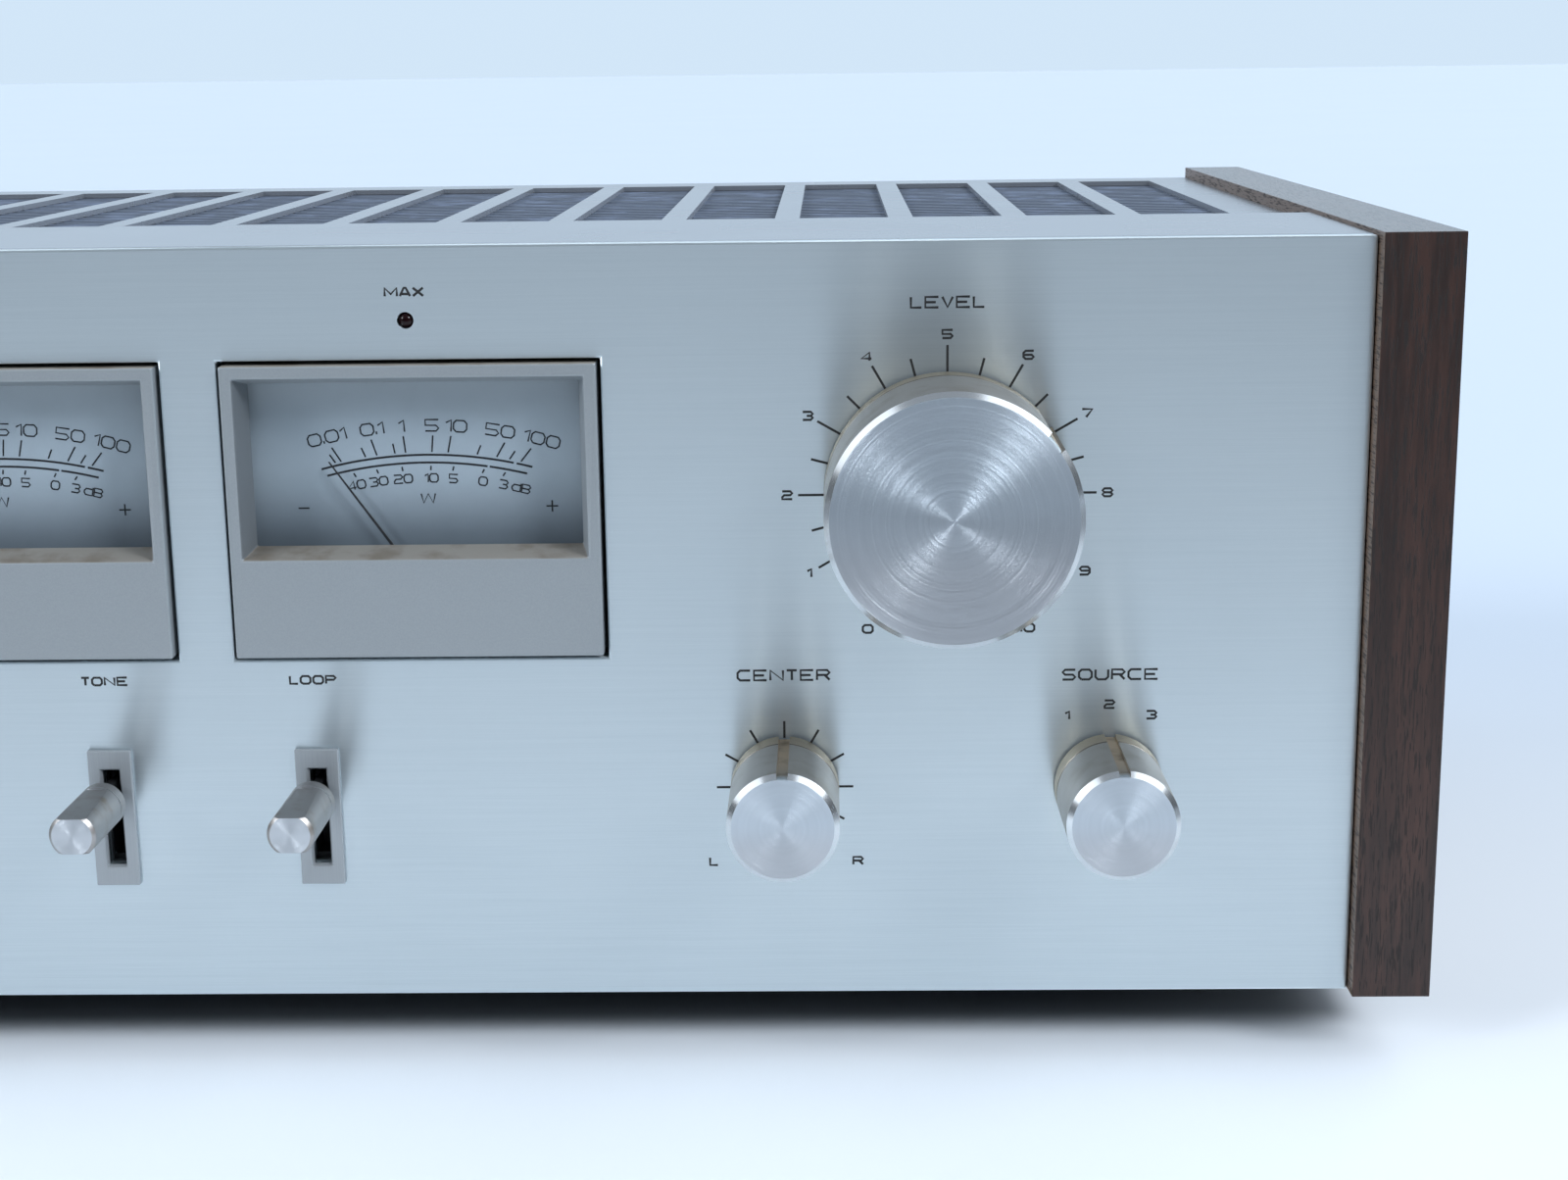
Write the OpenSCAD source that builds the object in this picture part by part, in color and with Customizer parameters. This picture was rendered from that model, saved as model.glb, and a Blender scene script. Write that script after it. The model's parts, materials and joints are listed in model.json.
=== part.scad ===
/* [Case] */
// Width of the front panel
panel_w = 391.6; // [370:0.2:440]
// Height of the front panel
panel_h = 137; // [132:1:160]
// Thickness of the front panel
panel_t = 4; // [3.6:0.1:6]
// Thickness of the chassis and cover sheet
sheet_t = 1.2; // [0.8:0.1:1.6]
// Depth from the panel's front face to the back of the cheeks
case_depth = 224; // [216:1:300]
// Distance of the rear panel inside the back of the cheeks
rear_inset = 2; // [1:0.5:6]
// Width of the bent lips that join the sheets
lip_w = 11; // [9:0.5:14]

/* [Cheeks] */
// Thickness of a wooden cheek
cheek_t = 14; // [12:0.5:20]
// Reach of a cheek in front of the panel
cheek_proud = 3.75; // [1:0.25:8]
// Rise of a cheek above the panel
cheek_rise = 0.75; // [0:0.25:4]
// Gap between the panel and a cheek
cheek_gap = 0.2; // [0.1:0.05:0.6]

/* [Feet] */
// Height of a foot
foot_h = 12; // [8:0.5:20]
// Diameter of a foot at the bottom plate
foot_d = 38; // [30:1:46]
// Thickness of a foot's sole under its screw head
foot_sole = 2.8; // [2:0.1:4]
// Narrowing of a foot's radius towards the floor
foot_taper = 2; // [0:0.5:4]
// Distance of a foot's axis from the panel's end
foot_side_inset = 42; // [30:1:60]
// Distance of a foot's axis from the front and from the back
foot_end_inset = 48; // [30:1:60]

/* [Top cover] */
// Depth of the plain band behind the panel's front face
band_depth = 58; // [40:1:70]
// Step down from the band to the vent field
vent_drop = 1.8; // [1.4:0.1:4]
// Number of vent slots
slot_count = 16; // [8:1:16]
// Distance between neighbouring vent slots
slot_pitch = 23.4; // [21:0.1:23.6]
// Width of a vent slot
slot_w = 18.3; // [10:0.1:19]
// Plain sheet in front of the vent slots
slot_lead = 6; // [4:0.5:20]
// Plain sheet behind the vent slots
slot_tail = 14; // [8:0.5:30]
// Thickness of the dark screen under the vent slots
screen_t = 0.6; // [0.4:0.1:1]
// Number of openings from front to back in the screen
screen_count = 28; // [10:1:30]
// Width of a bar between two openings
screen_bar = 2.2; // [1.5:0.1:3]
// Margin of the screen round the vent slots
screen_margin = 4; // [3:0.5:6]
// Gap between the panel and the cover
cover_gap = 0.2; // [0.1:0.05:0.5]

/* [Meters] */
// Distance of the meter pair's middle from the panel's middle
meter_shift = -9.7; // [-12:0.1:4]
// Distance between the meters' middles
meter_pitch = 77.05; // [76:0.05:84]
// Width of a meter's cut-out
meter_w = 67; // [60:0.5:68]
// Height of a meter's cut-out
meter_h = 53.6; // [50:0.1:56]
// Distance of the cut-outs below the panel's top edge
meter_drop = 19.6; // [16:0.1:24]
// Gap round a bezel in its cut-out
bezel_gap = 0.72; // [0.4:0.02:1]
// Reach of a bezel in front of the panel
bezel_proud = 1.6; // [0.5:0.1:3]
// Width of a bezel beside its window
bezel_side = 2.15; // [2:0.05:5]
// Width of a bezel above its window
bezel_top = 2.25; // [2:0.05:5]
// Height of a bezel's window
window_h = 32.1; // [26:0.1:34]
// Depth of the window's drafted walls
window_depth = 6.2; // [5.5:0.1:8]
// Inset of the window's walls at their back
window_inset = 1.5; // [0.5:0.1:2.5]
// Thickness of the clear pane
pane_t = 1; // [0.8:0.1:2]
// Distance from the pane to the dial
dial_gap = 2.4; // [2.2:0.1:4]
// Thickness of the dial plate
dial_t = 0.8; // [0.5:0.1:1.5]
// Depth of a meter case
meter_case_depth = 30; // [26:1:40]
// Wall of a meter case
meter_wall = 1.6; // [1.2:0.1:2]
// Width of the flange round a meter case
meter_flange = 3; // [2:0.5:4]
// Diameter of a meter movement
movement_d = 17; // [12:0.5:18]
// Distance of a needle's pivot below the window
pivot_below = 6.75; // [5:0.25:8]
// Diameter of a needle's pivot pin
pivot_d = 1.5; // [1.2:0.1:2]
// Diameter of a needle's hub
hub_d = 5; // [4:0.5:6]
// Thickness of a needle's hub
hub_t = 1; // [0.8:0.1:1.2]
// Length of a needle from its pivot
needle_length = 28; // [20:0.5:30]
// Width of a needle at its hub
needle_w = 0.7; // [0.5:0.1:1.2]
// Lean of a needle to the left at rest
needle_lean = 35; // [30:1:42]

/* [Peak lamps] */
// Diameter of a peak lamp
lamp_d = 2.8; // [2.4:0.1:5]
// Height of the lamps above the cut-outs
lamp_rise = 6.85; // [6:0.05:10]

/* [Knobs] */
// Diameter of the volume knob
volume_d = 43.2; // [30:0.1:50]
// Reach of the volume knob in front of the panel
volume_reach = 26; // [18:0.5:30]
// Diameter of the small knobs
knob_d = 19.5; // [18:0.5:24]
// Reach of the small knobs in front of the panel
knob_reach = 24; // [16:0.5:26]
// Gap between a knob and the panel
knob_gap = 0.8; // [0.5:0.1:1.5]
// Chamfer round a knob's face
knob_chamfer = 0.9; // [0.4:0.1:1.5]
// Height of the skirt at a knob's foot
skirt_h = 4.7; // [2:0.1:6]
// Width and depth of the ring cut above the skirt
ring_cut = 0.4; // [0.2:0.1:0.8]
// Width of a small knob's pointer groove
pointer_w = 2; // [1:0.1:3]
// Width of the volume knob's pointer groove
volume_pointer_w = 3.6; // [2:0.1:5]
// Depth of a pointer groove
pointer_depth = 1.2; // [0.6:0.1:2]
// Metal left in front of a knob's bore
knob_face_t = 4; // [2:0.5:6]
// Clockwise turn of the volume pointer from the top at rest
volume_turn = 52; // [-150:1:150]
// Distance of the volume axis from the panel's right end
volume_inset = 73.3; // [60:0.1:80]
// Distance of the upper controls below the panel's top edge
upper_drop = 44.1; // [40:0.1:50]
// Distance of the small knobs above the panel's lower edge
lower_rise = 39.5; // [36:0.5:44]
// Distance between the balance and function axes
lower_spread = 58.1; // [50:0.1:64]
// Distance of the speaker selector from the panel's left end
speaker_inset = 80; // [70:1:90]
// Distance of the bass axis from the panel's left end
bass_inset = 62; // [58:1:68]
// Distance between the bass and treble axes
tone_spread = 43; // [36:1:46]

/* [Control shafts] */
// Diameter of a control shaft
shaft_d = 6; // [5:0.1:6.4]
// Depth of the flat on a shaft's end
shaft_flat = 1.5; // [0.8:0.1:2]
// Length of a shaft behind the sub-panel
shaft_inside = 12; // [8:0.5:13]
// Diameter of a control's threaded bush
bush_d = 9; // [8.5:0.1:10]
// Width of a control nut across its flats
nut_flats = 12; // [11.5:0.1:13]
// Thickness of a control nut
nut_t = 2.4; // [1.6:0.1:2.6]
// Length of a bush in front of the sub-panel
bush_reach = 3.2; // [2.8:0.1:3.4]
// Diameter of the volume potentiometer
volume_pot_d = 28; // [22:1:32]
// Diameter of the tone potentiometers
tone_pot_d = 24; // [18:1:26]
// Diameter of the rotary switches
rotary_d = 27; // [20:1:28]
// Depth of a potentiometer or rotary switch
control_depth = 16; // [15:0.5:22]

/* [Levers] */
// Distance between the loudness and tape levers
lever_spread = 37.6; // [30:0.1:46]
// Height of the lever slots' middles above the panel's lower edge
lever_rise = 34.6; // [32:0.1:38]
// Distance of the power lever from the panel's left end
power_inset = 28; // [22:1:34]
// Width of a slot plate
plate_w = 7.9; // [7:0.1:10]
// Height of a slot plate
plate_h = 25.5; // [24:0.5:30]
// Thickness of a slot plate
plate_t = 1; // [0.8:0.1:1.6]
// Width of a lever's slot
lever_slot_w = 3.8; // [3.2:0.1:4.4]
// Height of a lever's slot
lever_slot_h = 18.7; // [17.5:0.1:20]
// Inset of a slot's drafted walls at the back of its plate
slot_inset = 0.45; // [0.2:0.05:0.8]
// Travel of a lever
lever_travel = 8.8; // [6:0.1:9]
// Diameter of a lever cap
lever_d = 8.2; // [6:0.1:9]
// Distance across the flats at a lever cap's end
lever_flats = 6.2; // [5:0.1:7]
// Distance across the flats beside a lever cap's collar
lever_neck_flats = 7.2; // [5.5:0.1:7.8]
// Length of a lever cap
lever_length = 18; // [12:0.1:20]
// Distance of a lever cap from the panel
lever_off = 6.2; // [4:0.1:8]
// Chamfer round a lever cap's end
lever_chamfer = 0.6; // [0.2:0.1:1]
// Length of the round collar behind a lever cap's flats
lever_collar = 2.5; // [1:0.1:4]
// Width and depth of the ring cut in front of a lever cap's collar
lever_ring = 0.25; // [0.1:0.05:0.5]
// Width of a lever's steel blade
blade_w = 1.6; // [1:0.1:2]
// Height of a lever's steel blade
blade_h = 5; // [2:0.1:5.4]
// Depth of the blade in its lever cap
blade_grip = 6; // [4:0.5:9]
// Height of the shoe that slides in a switch
shoe_h = 8; // [6:0.5:9]
// Depth of the shoe
shoe_depth = 5; // [3:0.5:7]
// Wall of a slide switch
switch_wall = 4; // [2:0.5:6]

/* [Headphone jack] */
// Diameter of the jack's bore
jack_bore_d = 6.5; // [6.45:0.05:6.6]
// Outside diameter of the jack's bush
jack_bush_d = 11; // [10:0.5:12]
// Width of the jack's body
jack_body_w = 16; // [14:1:20]
// Length of the jack's body
jack_body_l = 32; // [24:1:36]
// Diameter of the ring nut in front of the panel
ring_nut_d = 15; // [14:0.5:18]
// Thickness of the ring nut
ring_nut_t = 2; // [1:0.1:3]
// Distance of the jack from the panel's left end
jack_inset = 24; // [20:1:28]

/* [Power supply] */
// Width of the transformer core
core_w = 75; // [60:1:80]
// Height of the transformer core
core_h = 62.5; // [50:0.5:70]
// Depth of the transformer core's stack
core_stack = 35; // [25:1:45]
// Width of an outer leg of the core
core_leg = 12.5; // [10:0.5:14]
// Reach of the winding beyond the stack
coil_reach = 11; // [6:0.5:14]
// Distance of the transformer's middle from the panel's left end
core_inset = 88; // [80:1:94]
// Distance of the transformer's middle in front of the rear panel
core_back = 105; // [90:1:115]
// Diameter of a filter capacitor
cap_d = 35; // [25:1:38]
// Height of a filter capacitor
cap_h = 56; // [40:1:70]
// Distance between the capacitors' axes
cap_pitch = 42; // [40:1:48]
// Distance of the capacitors' middle from the panel's middle
cap_shift = -14; // [-20:1:-8]

/* [Amplifier] */
// Width of the heat sink and the amplifier board
sink_w = 136; // [120:1:140]
// Height of the heat sink
sink_h = 80; // [60:1:100]
// Thickness of the heat sink's base
sink_base = 4; // [3:0.5:6]
// Reach of the heat sink's fins
fin_reach = 26; // [15:1:30]
// Thickness of a fin
fin_t = 1.6; // [1.2:0.1:2.5]
// Number of fins
fin_count = 13; // [6:1:15]
// Distance of the heat sink's end from the panel's right end
sink_inset = 16; // [14:1:24]
// Distance of the fins in front of the rear panel
sink_back = 22; // [16:1:28]
// Width of an output transistor
transistor_w = 16; // [12:0.5:20]
// Thickness of an output transistor
transistor_t = 4.6; // [3.5:0.1:5]
// Height of an output transistor
transistor_h = 20; // [15:0.5:24]
// Number of output transistors
transistor_count = 4; // [2:2:4]
// Height of the transistors above the bottom plate
transistor_rise = 34; // [25:1:38]
// Thickness of a circuit board
board_t = 1.6; // [1:0.1:2]
// Depth of the amplifier board
amp_board_d = 74; // [60:1:78]
// Depth of the control board
control_board_d = 36; // [30:1:40]
// Width of the control board
control_board_w = 92; // [70:1:110]
// Height of the board posts
post_h = 10; // [8:0.5:14]
// Solid floor of a board post under its screw hole
post_floor = 4; // [2:0.5:5]
// Diameter of the board posts
post_d = 6; // [5:0.5:8]

/* [Rear panel fittings] */
// Number of input jacks in a row
input_count = 5; // [2:1:6]
// Distance between input jacks
input_pitch = 19; // [16:0.5:20]
// Outside diameter of an input jack's barrel
input_d = 8.3; // [8:0.1:8.6]
// Bore of an input jack
pin_hole_d = 3.3; // [3.28:0.02:3.6]
// Width of the flange round an input jack
input_flange_w = 1.85; // [1.5:0.05:2.5]
// Length of an input jack outside the rear panel
input_reach = 9.5; // [8:0.5:11]
// Number of speaker terminals
terminal_count = 8; // [4:2:8]
// Distance between speaker terminals
terminal_pitch = 11; // [10:0.5:12]
// Height of the terminal strip
strip_h = 22; // [16:1:26]
// Thickness of the terminal strip's base
strip_t = 6; // [5.5:0.5:8]
// Reach of the terminal strip outside the rear panel
strip_reach = 12; // [10:0.5:16]
// Bore of the mains cord's gland
gland_bore_d = 7.2; // [6:0.1:8]
// Diameter of the gland in the rear panel
gland_d = 12; // [11:0.5:15]
// Width of the gland's collar outside the rear panel
gland_collar_w = 2.5; // [2:0.5:4]
// Distance of the gland from the panel's left end
gland_inset = 46; // [36:1:60]
// Height of the gland above the bottom plate
gland_rise = 28; // [20:1:40]
// Distance of the first input jack from the panel's right end
input_inset = 130; // [125:1:150]
// Height of the lower input jacks above the bottom plate
input_rise = 56; // [30:1:70]
// Height of the terminal strip above the bottom plate
strip_rise = 50; // [20:1:70]

/* [Screws] */
// Diameter of a machine screw or wood screw
screw_d = 3; // [2.5:0.1:3.2]
// Diameter of a screw's head
screw_head_d = 5.6; // [5:0.1:6]
// Height of a screw's head
screw_head_h = 1.8; // [1.2:0.1:2]
// Free length of a machine screw behind the sheets it joins
screw_tail = 2; // [1:0.5:3]
// Reach of a wood screw into a cheek
wood_bite = 9; // [6:0.5:10]

/* [Hidden] */
$fn = 64;
// Gap round a fixed piece in its hole
fit_gap = 0.05;
// Running gap round a turning shaft
run_gap = 0.05;
// Gap round a piece that slides in its housing
slide_gap = 0.3;
// Skin that keeps a blind hole behind a visible face
blind_skin = 1;
// Reach of a cut past the face that it opens
cut = 1;
// Room round a screw's head in a foot
head_room = 1;
// Room round a nut in the front panel
nut_room = 0.6;
// Room round a lever's slot in the sheets behind its plate
slot_room = 0.4;
// Room between the boards and the pieces behind or in front of them
board_room = 4;

panel_left = -panel_w / 2;
panel_right = panel_w / 2;
panel_top = foot_h + panel_h;
inner_half_w = panel_w / 2 + cheek_gap;
plate_x = inner_half_w - sheet_t;
floor_z = foot_h + sheet_t;
wall_y = panel_t + sheet_t;
rear_y = case_depth - rear_inset;
rear_inner_y = rear_y - sheet_t;
vent_z = panel_top - vent_drop;
front_reach = max(volume_reach, knob_reach, lever_off + lever_length);
overall_depth = front_reach + rear_y + strip_reach;
panel_front_y = front_reach - overall_depth / 2;
sides = [-1, 1];

upper_z = panel_top - upper_drop;
lower_z = foot_h + lower_rise;
lever_z = foot_h + lever_rise;
volume_x = panel_right - volume_inset;
balance_x = volume_x - lower_spread / 2;
function_x = volume_x + lower_spread / 2;
speaker_x = panel_left + speaker_inset;
bass_x = panel_left + bass_inset;
treble_x = bass_x + tone_spread;
tone_spots = [[balance_x, lower_z], [bass_x, lower_z], [treble_x, lower_z]];
rotary_spots = [[function_x, lower_z], [speaker_x, upper_z]];
control_spots = concat([[volume_x, upper_z]], tone_spots, rotary_spots);
power_spot = [panel_left + power_inset, upper_z];
loudness_spot = [meter_shift - lever_spread / 2, lever_z];
tape_spot = [meter_shift + lever_spread / 2, lever_z];
lever_spots = [power_spot, loudness_spot, tape_spot];
jack_x = panel_left + jack_inset;
jack_z = lower_z;

meter_left_x = meter_shift - meter_pitch / 2;
meter_right_x = meter_shift + meter_pitch / 2;
meter_xs = [meter_left_x, meter_right_x];
meter_z = panel_top - meter_drop - meter_h;
bezel_w = meter_w - 2 * bezel_gap;
bezel_h = meter_h - 2 * bezel_gap;
bezel_z = meter_z + bezel_gap;
meter_inner_w = bezel_w - 2 * meter_wall;
meter_inner_h = bezel_h - 2 * meter_wall;
window_w = bezel_w - 2 * bezel_side;
window_top = bezel_z + bezel_h - bezel_top;
window_z = window_top - window_h;
bezel_back_y = window_depth - bezel_proud;
pane_back_y = bezel_back_y + pane_t;
dial_y = pane_back_y + dial_gap;
meter_back_y = bezel_back_y + meter_case_depth;
pivot_z = window_z - pivot_below;
hub_y = (pane_back_y + dial_y - hub_t) / 2;
movement_y = dial_y + dial_t + slide_gap;
lamp_z = meter_z + meter_h + lamp_rise;
lamp_flange_w = 0.5;

nut_d = nut_flats / cos(30);
nut_hole_d = nut_d + 2 * nut_room;
lever_up = lever_travel / 2;
panel_slot_w = lever_slot_w + 2 * slot_room;
panel_slot_h = lever_slot_h + 2 * slot_room;
shoe_w = lever_slot_w;
cavity_w = shoe_w + 2 * slide_gap;
cavity_h = shoe_h + lever_travel + 2 * slide_gap;
cavity_d = shoe_depth + 2 * slide_gap;
sub_panel_screw_inset = 8;

sink_x = panel_right - sink_inset - sink_w;
sink_y = rear_inner_y - sink_back - fin_reach - sink_base;
board_z = floor_z + post_h;
amp_board_y = sink_y - transistor_t - board_room - amp_board_d;
control_board_x = volume_x - control_board_w / 2;
control_board_y = wall_y + control_depth + board_room;
post_inset = 6;
board_corners = concat(
    board_spots(sink_x, amp_board_y, sink_w, amp_board_d),
    board_spots(control_board_x, control_board_y, control_board_w, control_board_d)
);
cap_y = rear_inner_y - core_back;
core_x = panel_left + core_inset;
core_y = rear_inner_y - core_back;
core_gap = 0.2;

input_x = panel_right - input_inset;
input_z = floor_z + input_rise;
input_flange_d = input_d + 2 * input_flange_w;
input_flange_t = 1.5;
input_stub_d = 6;
strip_w = (terminal_count + 2) * terminal_pitch;
strip_x = cap_shift - strip_w / 2;
strip_z = floor_z + strip_rise;
terminal_z = strip_z + strip_h / 2;
gland_x = panel_left + gland_inset;
gland_z = floor_z + gland_rise;
flange_z = vent_z - lip_w;
cover_back_y = rear_y + sheet_t;
slot_y = band_depth + slot_lead;
slot_l = cover_back_y - slot_tail - slot_y;
slot_field_w = (slot_count - 1) * slot_pitch + slot_w;
cover_screw_z = flange_z + lip_w / 2 - sheet_t / 2;
cover_screw_xs = [for (s = sides, share = [0.3, 0.8]) s * share * panel_right];
foot_ys = [foot_end_inset, case_depth - foot_end_inset];
cheek_screw_ys = [foot_end_inset, case_depth / 2, case_depth - foot_end_inset];
cheek_screw_z = foot_h + panel_h / 2;
lip_end = 26;

// The four screw places of a board
function board_spots(x, y, w, d) =
    [for (dx = [post_inset, w - post_inset], dy = [post_inset, d - post_inset]) [x + dx, y + dy]];

// Shapes below are built from the panel's front face, which this puts in its place
module in_case() {
    translate([0, panel_front_y, 0]) children();
}

// Turns a shape built along +Z so that it points out of the panel
module facing_front(x, z) {
    translate([x, 0, z]) rotate([90, 0, 0]) children();
}

// A round bar along +Y
module bar_y(x, y, z, d, length) {
    translate([x, y, z]) rotate([-90, 0, 0]) cylinder(d = d, h = length);
}

// A round bar along +Z
module bar_z(x, y, z, d, length) {
    translate([x, y, z]) cylinder(d = d, h = length);
}

// A block centred on x and z, from y backwards
module block(x, y, z, w, depth, h) {
    translate([x - w / 2, y, z - h / 2]) cube([w, depth, h]);
}

// A profile in the case's side view, extruded across the case
module across(width) {
    rotate([90, 0, 90]) linear_extrude(height = width, center = true) children();
}

// A screw with its head below z = 0 and its shank above
module screw(length) {
    translate([0, 0, -screw_head_h]) cylinder(d = screw_head_d, h = screw_head_h);
    cylinder(d = screw_d, h = length);
}

// Places of the screws that hold the sheets' lips to the bottom plate
module at_lip_screws() {
    for (s = sides, y = [wall_y + 2 * lip_end, rear_inner_y - 2 * lip_end])
        translate([s * (plate_x - lip_w / 2), y, foot_h]) children();
    for (s = sides, y = [wall_y + lip_w / 2, rear_inner_y - lip_w / 2])
        translate([s * panel_w / 4, y, foot_h]) children();
}

// Places of the screws that hold the front panel to the sub-panel
module at_panel_screws() {
    for (s = sides, z = [foot_h + sub_panel_screw_inset, panel_top - sub_panel_screw_inset])
        facing_front(s * (panel_w / 2 - sub_panel_screw_inset), z) translate([0, 0, -wall_y]) children();
}

// Places of the screws in the cover's rear lip
module at_cover_screws() {
    for (x = cover_screw_xs)
        facing_front(x, cover_screw_z) translate([0, 0, -rear_y - sheet_t]) children();
}

// Places of the screws at the ends of the terminal strip
module at_strip_screws() {
    for (s = sides)
        facing_front(strip_x + strip_w / 2 + s * (strip_w - terminal_pitch) / 2, terminal_z)
            translate([0, 0, -rear_y - strip_t]) children();
}

// Places of the speaker terminals
module at_terminals() {
    for (i = [1 : terminal_count])
        facing_front(strip_x + (i + 0.5) * terminal_pitch, terminal_z)
            translate([0, 0, -rear_y - strip_t]) children();
}

// Places of the feet
module at_feet() {
    for (s = sides, y = foot_ys) translate([s * (panel_w / 2 - foot_side_inset), y, 0]) children();
}

module screw_hole(length) {
    cylinder(d = screw_d + 2 * fit_gap, h = length);
}

module front_panel() {
    color("#c8d0d6") in_case() difference() {
        block(0, 0, foot_h + panel_h / 2, panel_w, panel_t, panel_h);
        for (x = meter_xs) block(x, -cut, meter_z + meter_h / 2, meter_w, panel_t + 2 * cut, meter_h);
        for (x = meter_xs) bar_y(x, -cut, lamp_z, lamp_d + 2 * fit_gap, panel_t + 2 * cut);
        for (c = control_spots) bar_y(c[0], -cut, c[1], nut_hole_d, panel_t + 2 * cut);
        for (c = lever_spots) block(c[0], -cut, c[1], panel_slot_w, panel_t + 2 * cut, panel_slot_h);
        bar_y(jack_x, -cut, jack_z, jack_bush_d + 2 * fit_gap, panel_t + 2 * cut);
        at_panel_screws() screw_hole(wall_y - blind_skin);
    }
}

module sub_panel() {
    color("#9aa0a4") in_case() difference() {
        union() {
            top = panel_top - sheet_t;
            translate([panel_left, panel_t, floor_z]) cube([panel_w, sheet_t, top - floor_z]);
            translate([panel_left + lip_end, panel_t, floor_z])
                cube([panel_w - 2 * lip_end, sheet_t + lip_w, sheet_t]);
        }
        for (x = meter_xs)
            block(x, panel_t - cut, meter_z + meter_h / 2, meter_w, sheet_t + 2 * cut, meter_h);
        for (x = meter_xs) bar_y(x, panel_t - cut, lamp_z, lamp_d + 2 * fit_gap, sheet_t + 2 * cut);
        for (c = control_spots)
            bar_y(c[0], panel_t - cut, c[1], bush_d + 2 * fit_gap, sheet_t + 2 * cut);
        for (c = lever_spots)
            block(c[0], panel_t - cut, c[1], panel_slot_w, sheet_t + 2 * cut, panel_slot_h);
        bar_y(jack_x, panel_t - cut, jack_z, jack_bush_d + 2 * fit_gap, sheet_t + 2 * cut);
        at_panel_screws() screw_hole(sheet_t + cut);
        at_lip_screws() screw_hole(sheet_t * 3);
    }
}

module bottom_plate() {
    color("#3a3c3e") in_case() difference() {
        translate([-plate_x, panel_t, foot_h]) cube([2 * plate_x, rear_y - panel_t, sheet_t]);
        at_lip_screws() screw_hole(sheet_t * 3);
        at_feet() translate([0, 0, foot_h - cut]) screw_hole(sheet_t + 2 * cut);
    }
}

// One side plate, on the side that s gives
module side_plate(s) {
    step_y = band_depth - sheet_t - slide_gap;
    low_top = vent_z - sheet_t;
    outline = [
        [wall_y, foot_h], [rear_inner_y, foot_h], [rear_inner_y, low_top], [step_y, low_top],
        [step_y, panel_top - sheet_t], [wall_y, panel_top - sheet_t]
    ];
    difference() {
        union() {
            translate([s * (plate_x + sheet_t / 2), 0, 0]) across(sheet_t) polygon(outline);
            translate([s > 0 ? plate_x - lip_w : -plate_x, wall_y + lip_end, floor_z])
                cube([lip_w, rear_inner_y - wall_y - 2 * lip_end, sheet_t]);
        }
        at_cheek_screws(s) screw_hole(sheet_t + cut);
        at_lip_screws() screw_hole(sheet_t * 3);
    }
}

// Places of the wood screws on one side, pointing outwards
module at_cheek_screws(s) {
    for (y = cheek_screw_ys)
        translate([s * plate_x, y, cheek_screw_z]) rotate([0, s * 90, 0]) children();
}

module side_plate_left() {
    color("#9aa0a4") in_case() side_plate(-1);
}

module side_plate_right() {
    color("#9aa0a4") in_case() side_plate(1);
}

module rear_panel() {
    color("#55595c") in_case() difference() {
        union() {
            translate([-inner_half_w, rear_inner_y, floor_z])
                cube([2 * inner_half_w, sheet_t, vent_z - sheet_t - floor_z]);
            translate([panel_left + lip_end, rear_inner_y - lip_w, floor_z])
                cube([panel_w - 2 * lip_end, lip_w + sheet_t, sheet_t]);
        }
        at_lip_screws() screw_hole(sheet_t * 3);
        at_cover_screws() screw_hole(sheet_t * 3);
        at_strip_screws() screw_hole(strip_t + sheet_t + cut);
        at_input_jacks() bar_y(0, rear_inner_y - cut, 0, input_stub_d + 2 * fit_gap, sheet_t + 2 * cut);
        bar_y(gland_x, rear_inner_y - cut, gland_z, gland_d + 2 * fit_gap, sheet_t + 2 * cut);
    }
}

module top_cover() {
    front = panel_t + cover_gap;
    under = panel_top - sheet_t;
    profile = [
        [front, panel_top], [band_depth, panel_top], [band_depth, vent_z], [cover_back_y, vent_z],
        [cover_back_y, flange_z], [rear_y, flange_z], [rear_y, vent_z - sheet_t],
        [band_depth - sheet_t, vent_z - sheet_t], [band_depth - sheet_t, under], [front, under]
    ];
    color("#b4bcc4") in_case() difference() {
        across(2 * inner_half_w - 2 * fit_gap) polygon(profile);
        for (i = [0 : slot_count - 1])
            translate([i * slot_pitch - slot_field_w / 2, slot_y, vent_z - sheet_t - cut])
                cube([slot_w, slot_l, sheet_t + 2 * cut]);
        at_cover_screws() screw_hole(sheet_t + cut);
    }
}

// The dark slotted screen that lies under the cover's vent slots
module vent_screen() {
    width = slot_field_w + 2 * screen_margin;
    depth = slot_l + 2 * screen_margin;
    top = vent_z - sheet_t;
    pitch = (depth - screen_bar) / screen_count;
    first_y = slot_y - screen_margin + screen_bar;
    color("#3c4148") in_case() difference() {
        translate([-width / 2, slot_y - screen_margin, top - screen_t]) cube([width, depth, screen_t]);
        for (i = [0 : screen_count - 1])
            translate([-slot_field_w / 2, first_y + i * pitch, top - screen_t - cut])
                cube([slot_field_w, pitch - screen_bar, screen_t + 2 * cut]);
    }
}

// One wooden cheek, on the side that s gives
module wood_side(s) {
    height = panel_h + cheek_rise;
    difference() {
        translate([s > 0 ? inner_half_w : -inner_half_w - cheek_t, -cheek_proud, foot_h])
            cube([cheek_t, case_depth + cheek_proud, height]);
        at_cheek_screws(s) screw_hole(sheet_t + wood_bite);
    }
}

module wood_side_left() {
    color("#4a352c") in_case() wood_side(-1);
}

module wood_side_right() {
    color("#4a352c") in_case() wood_side(1);
}

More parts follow.
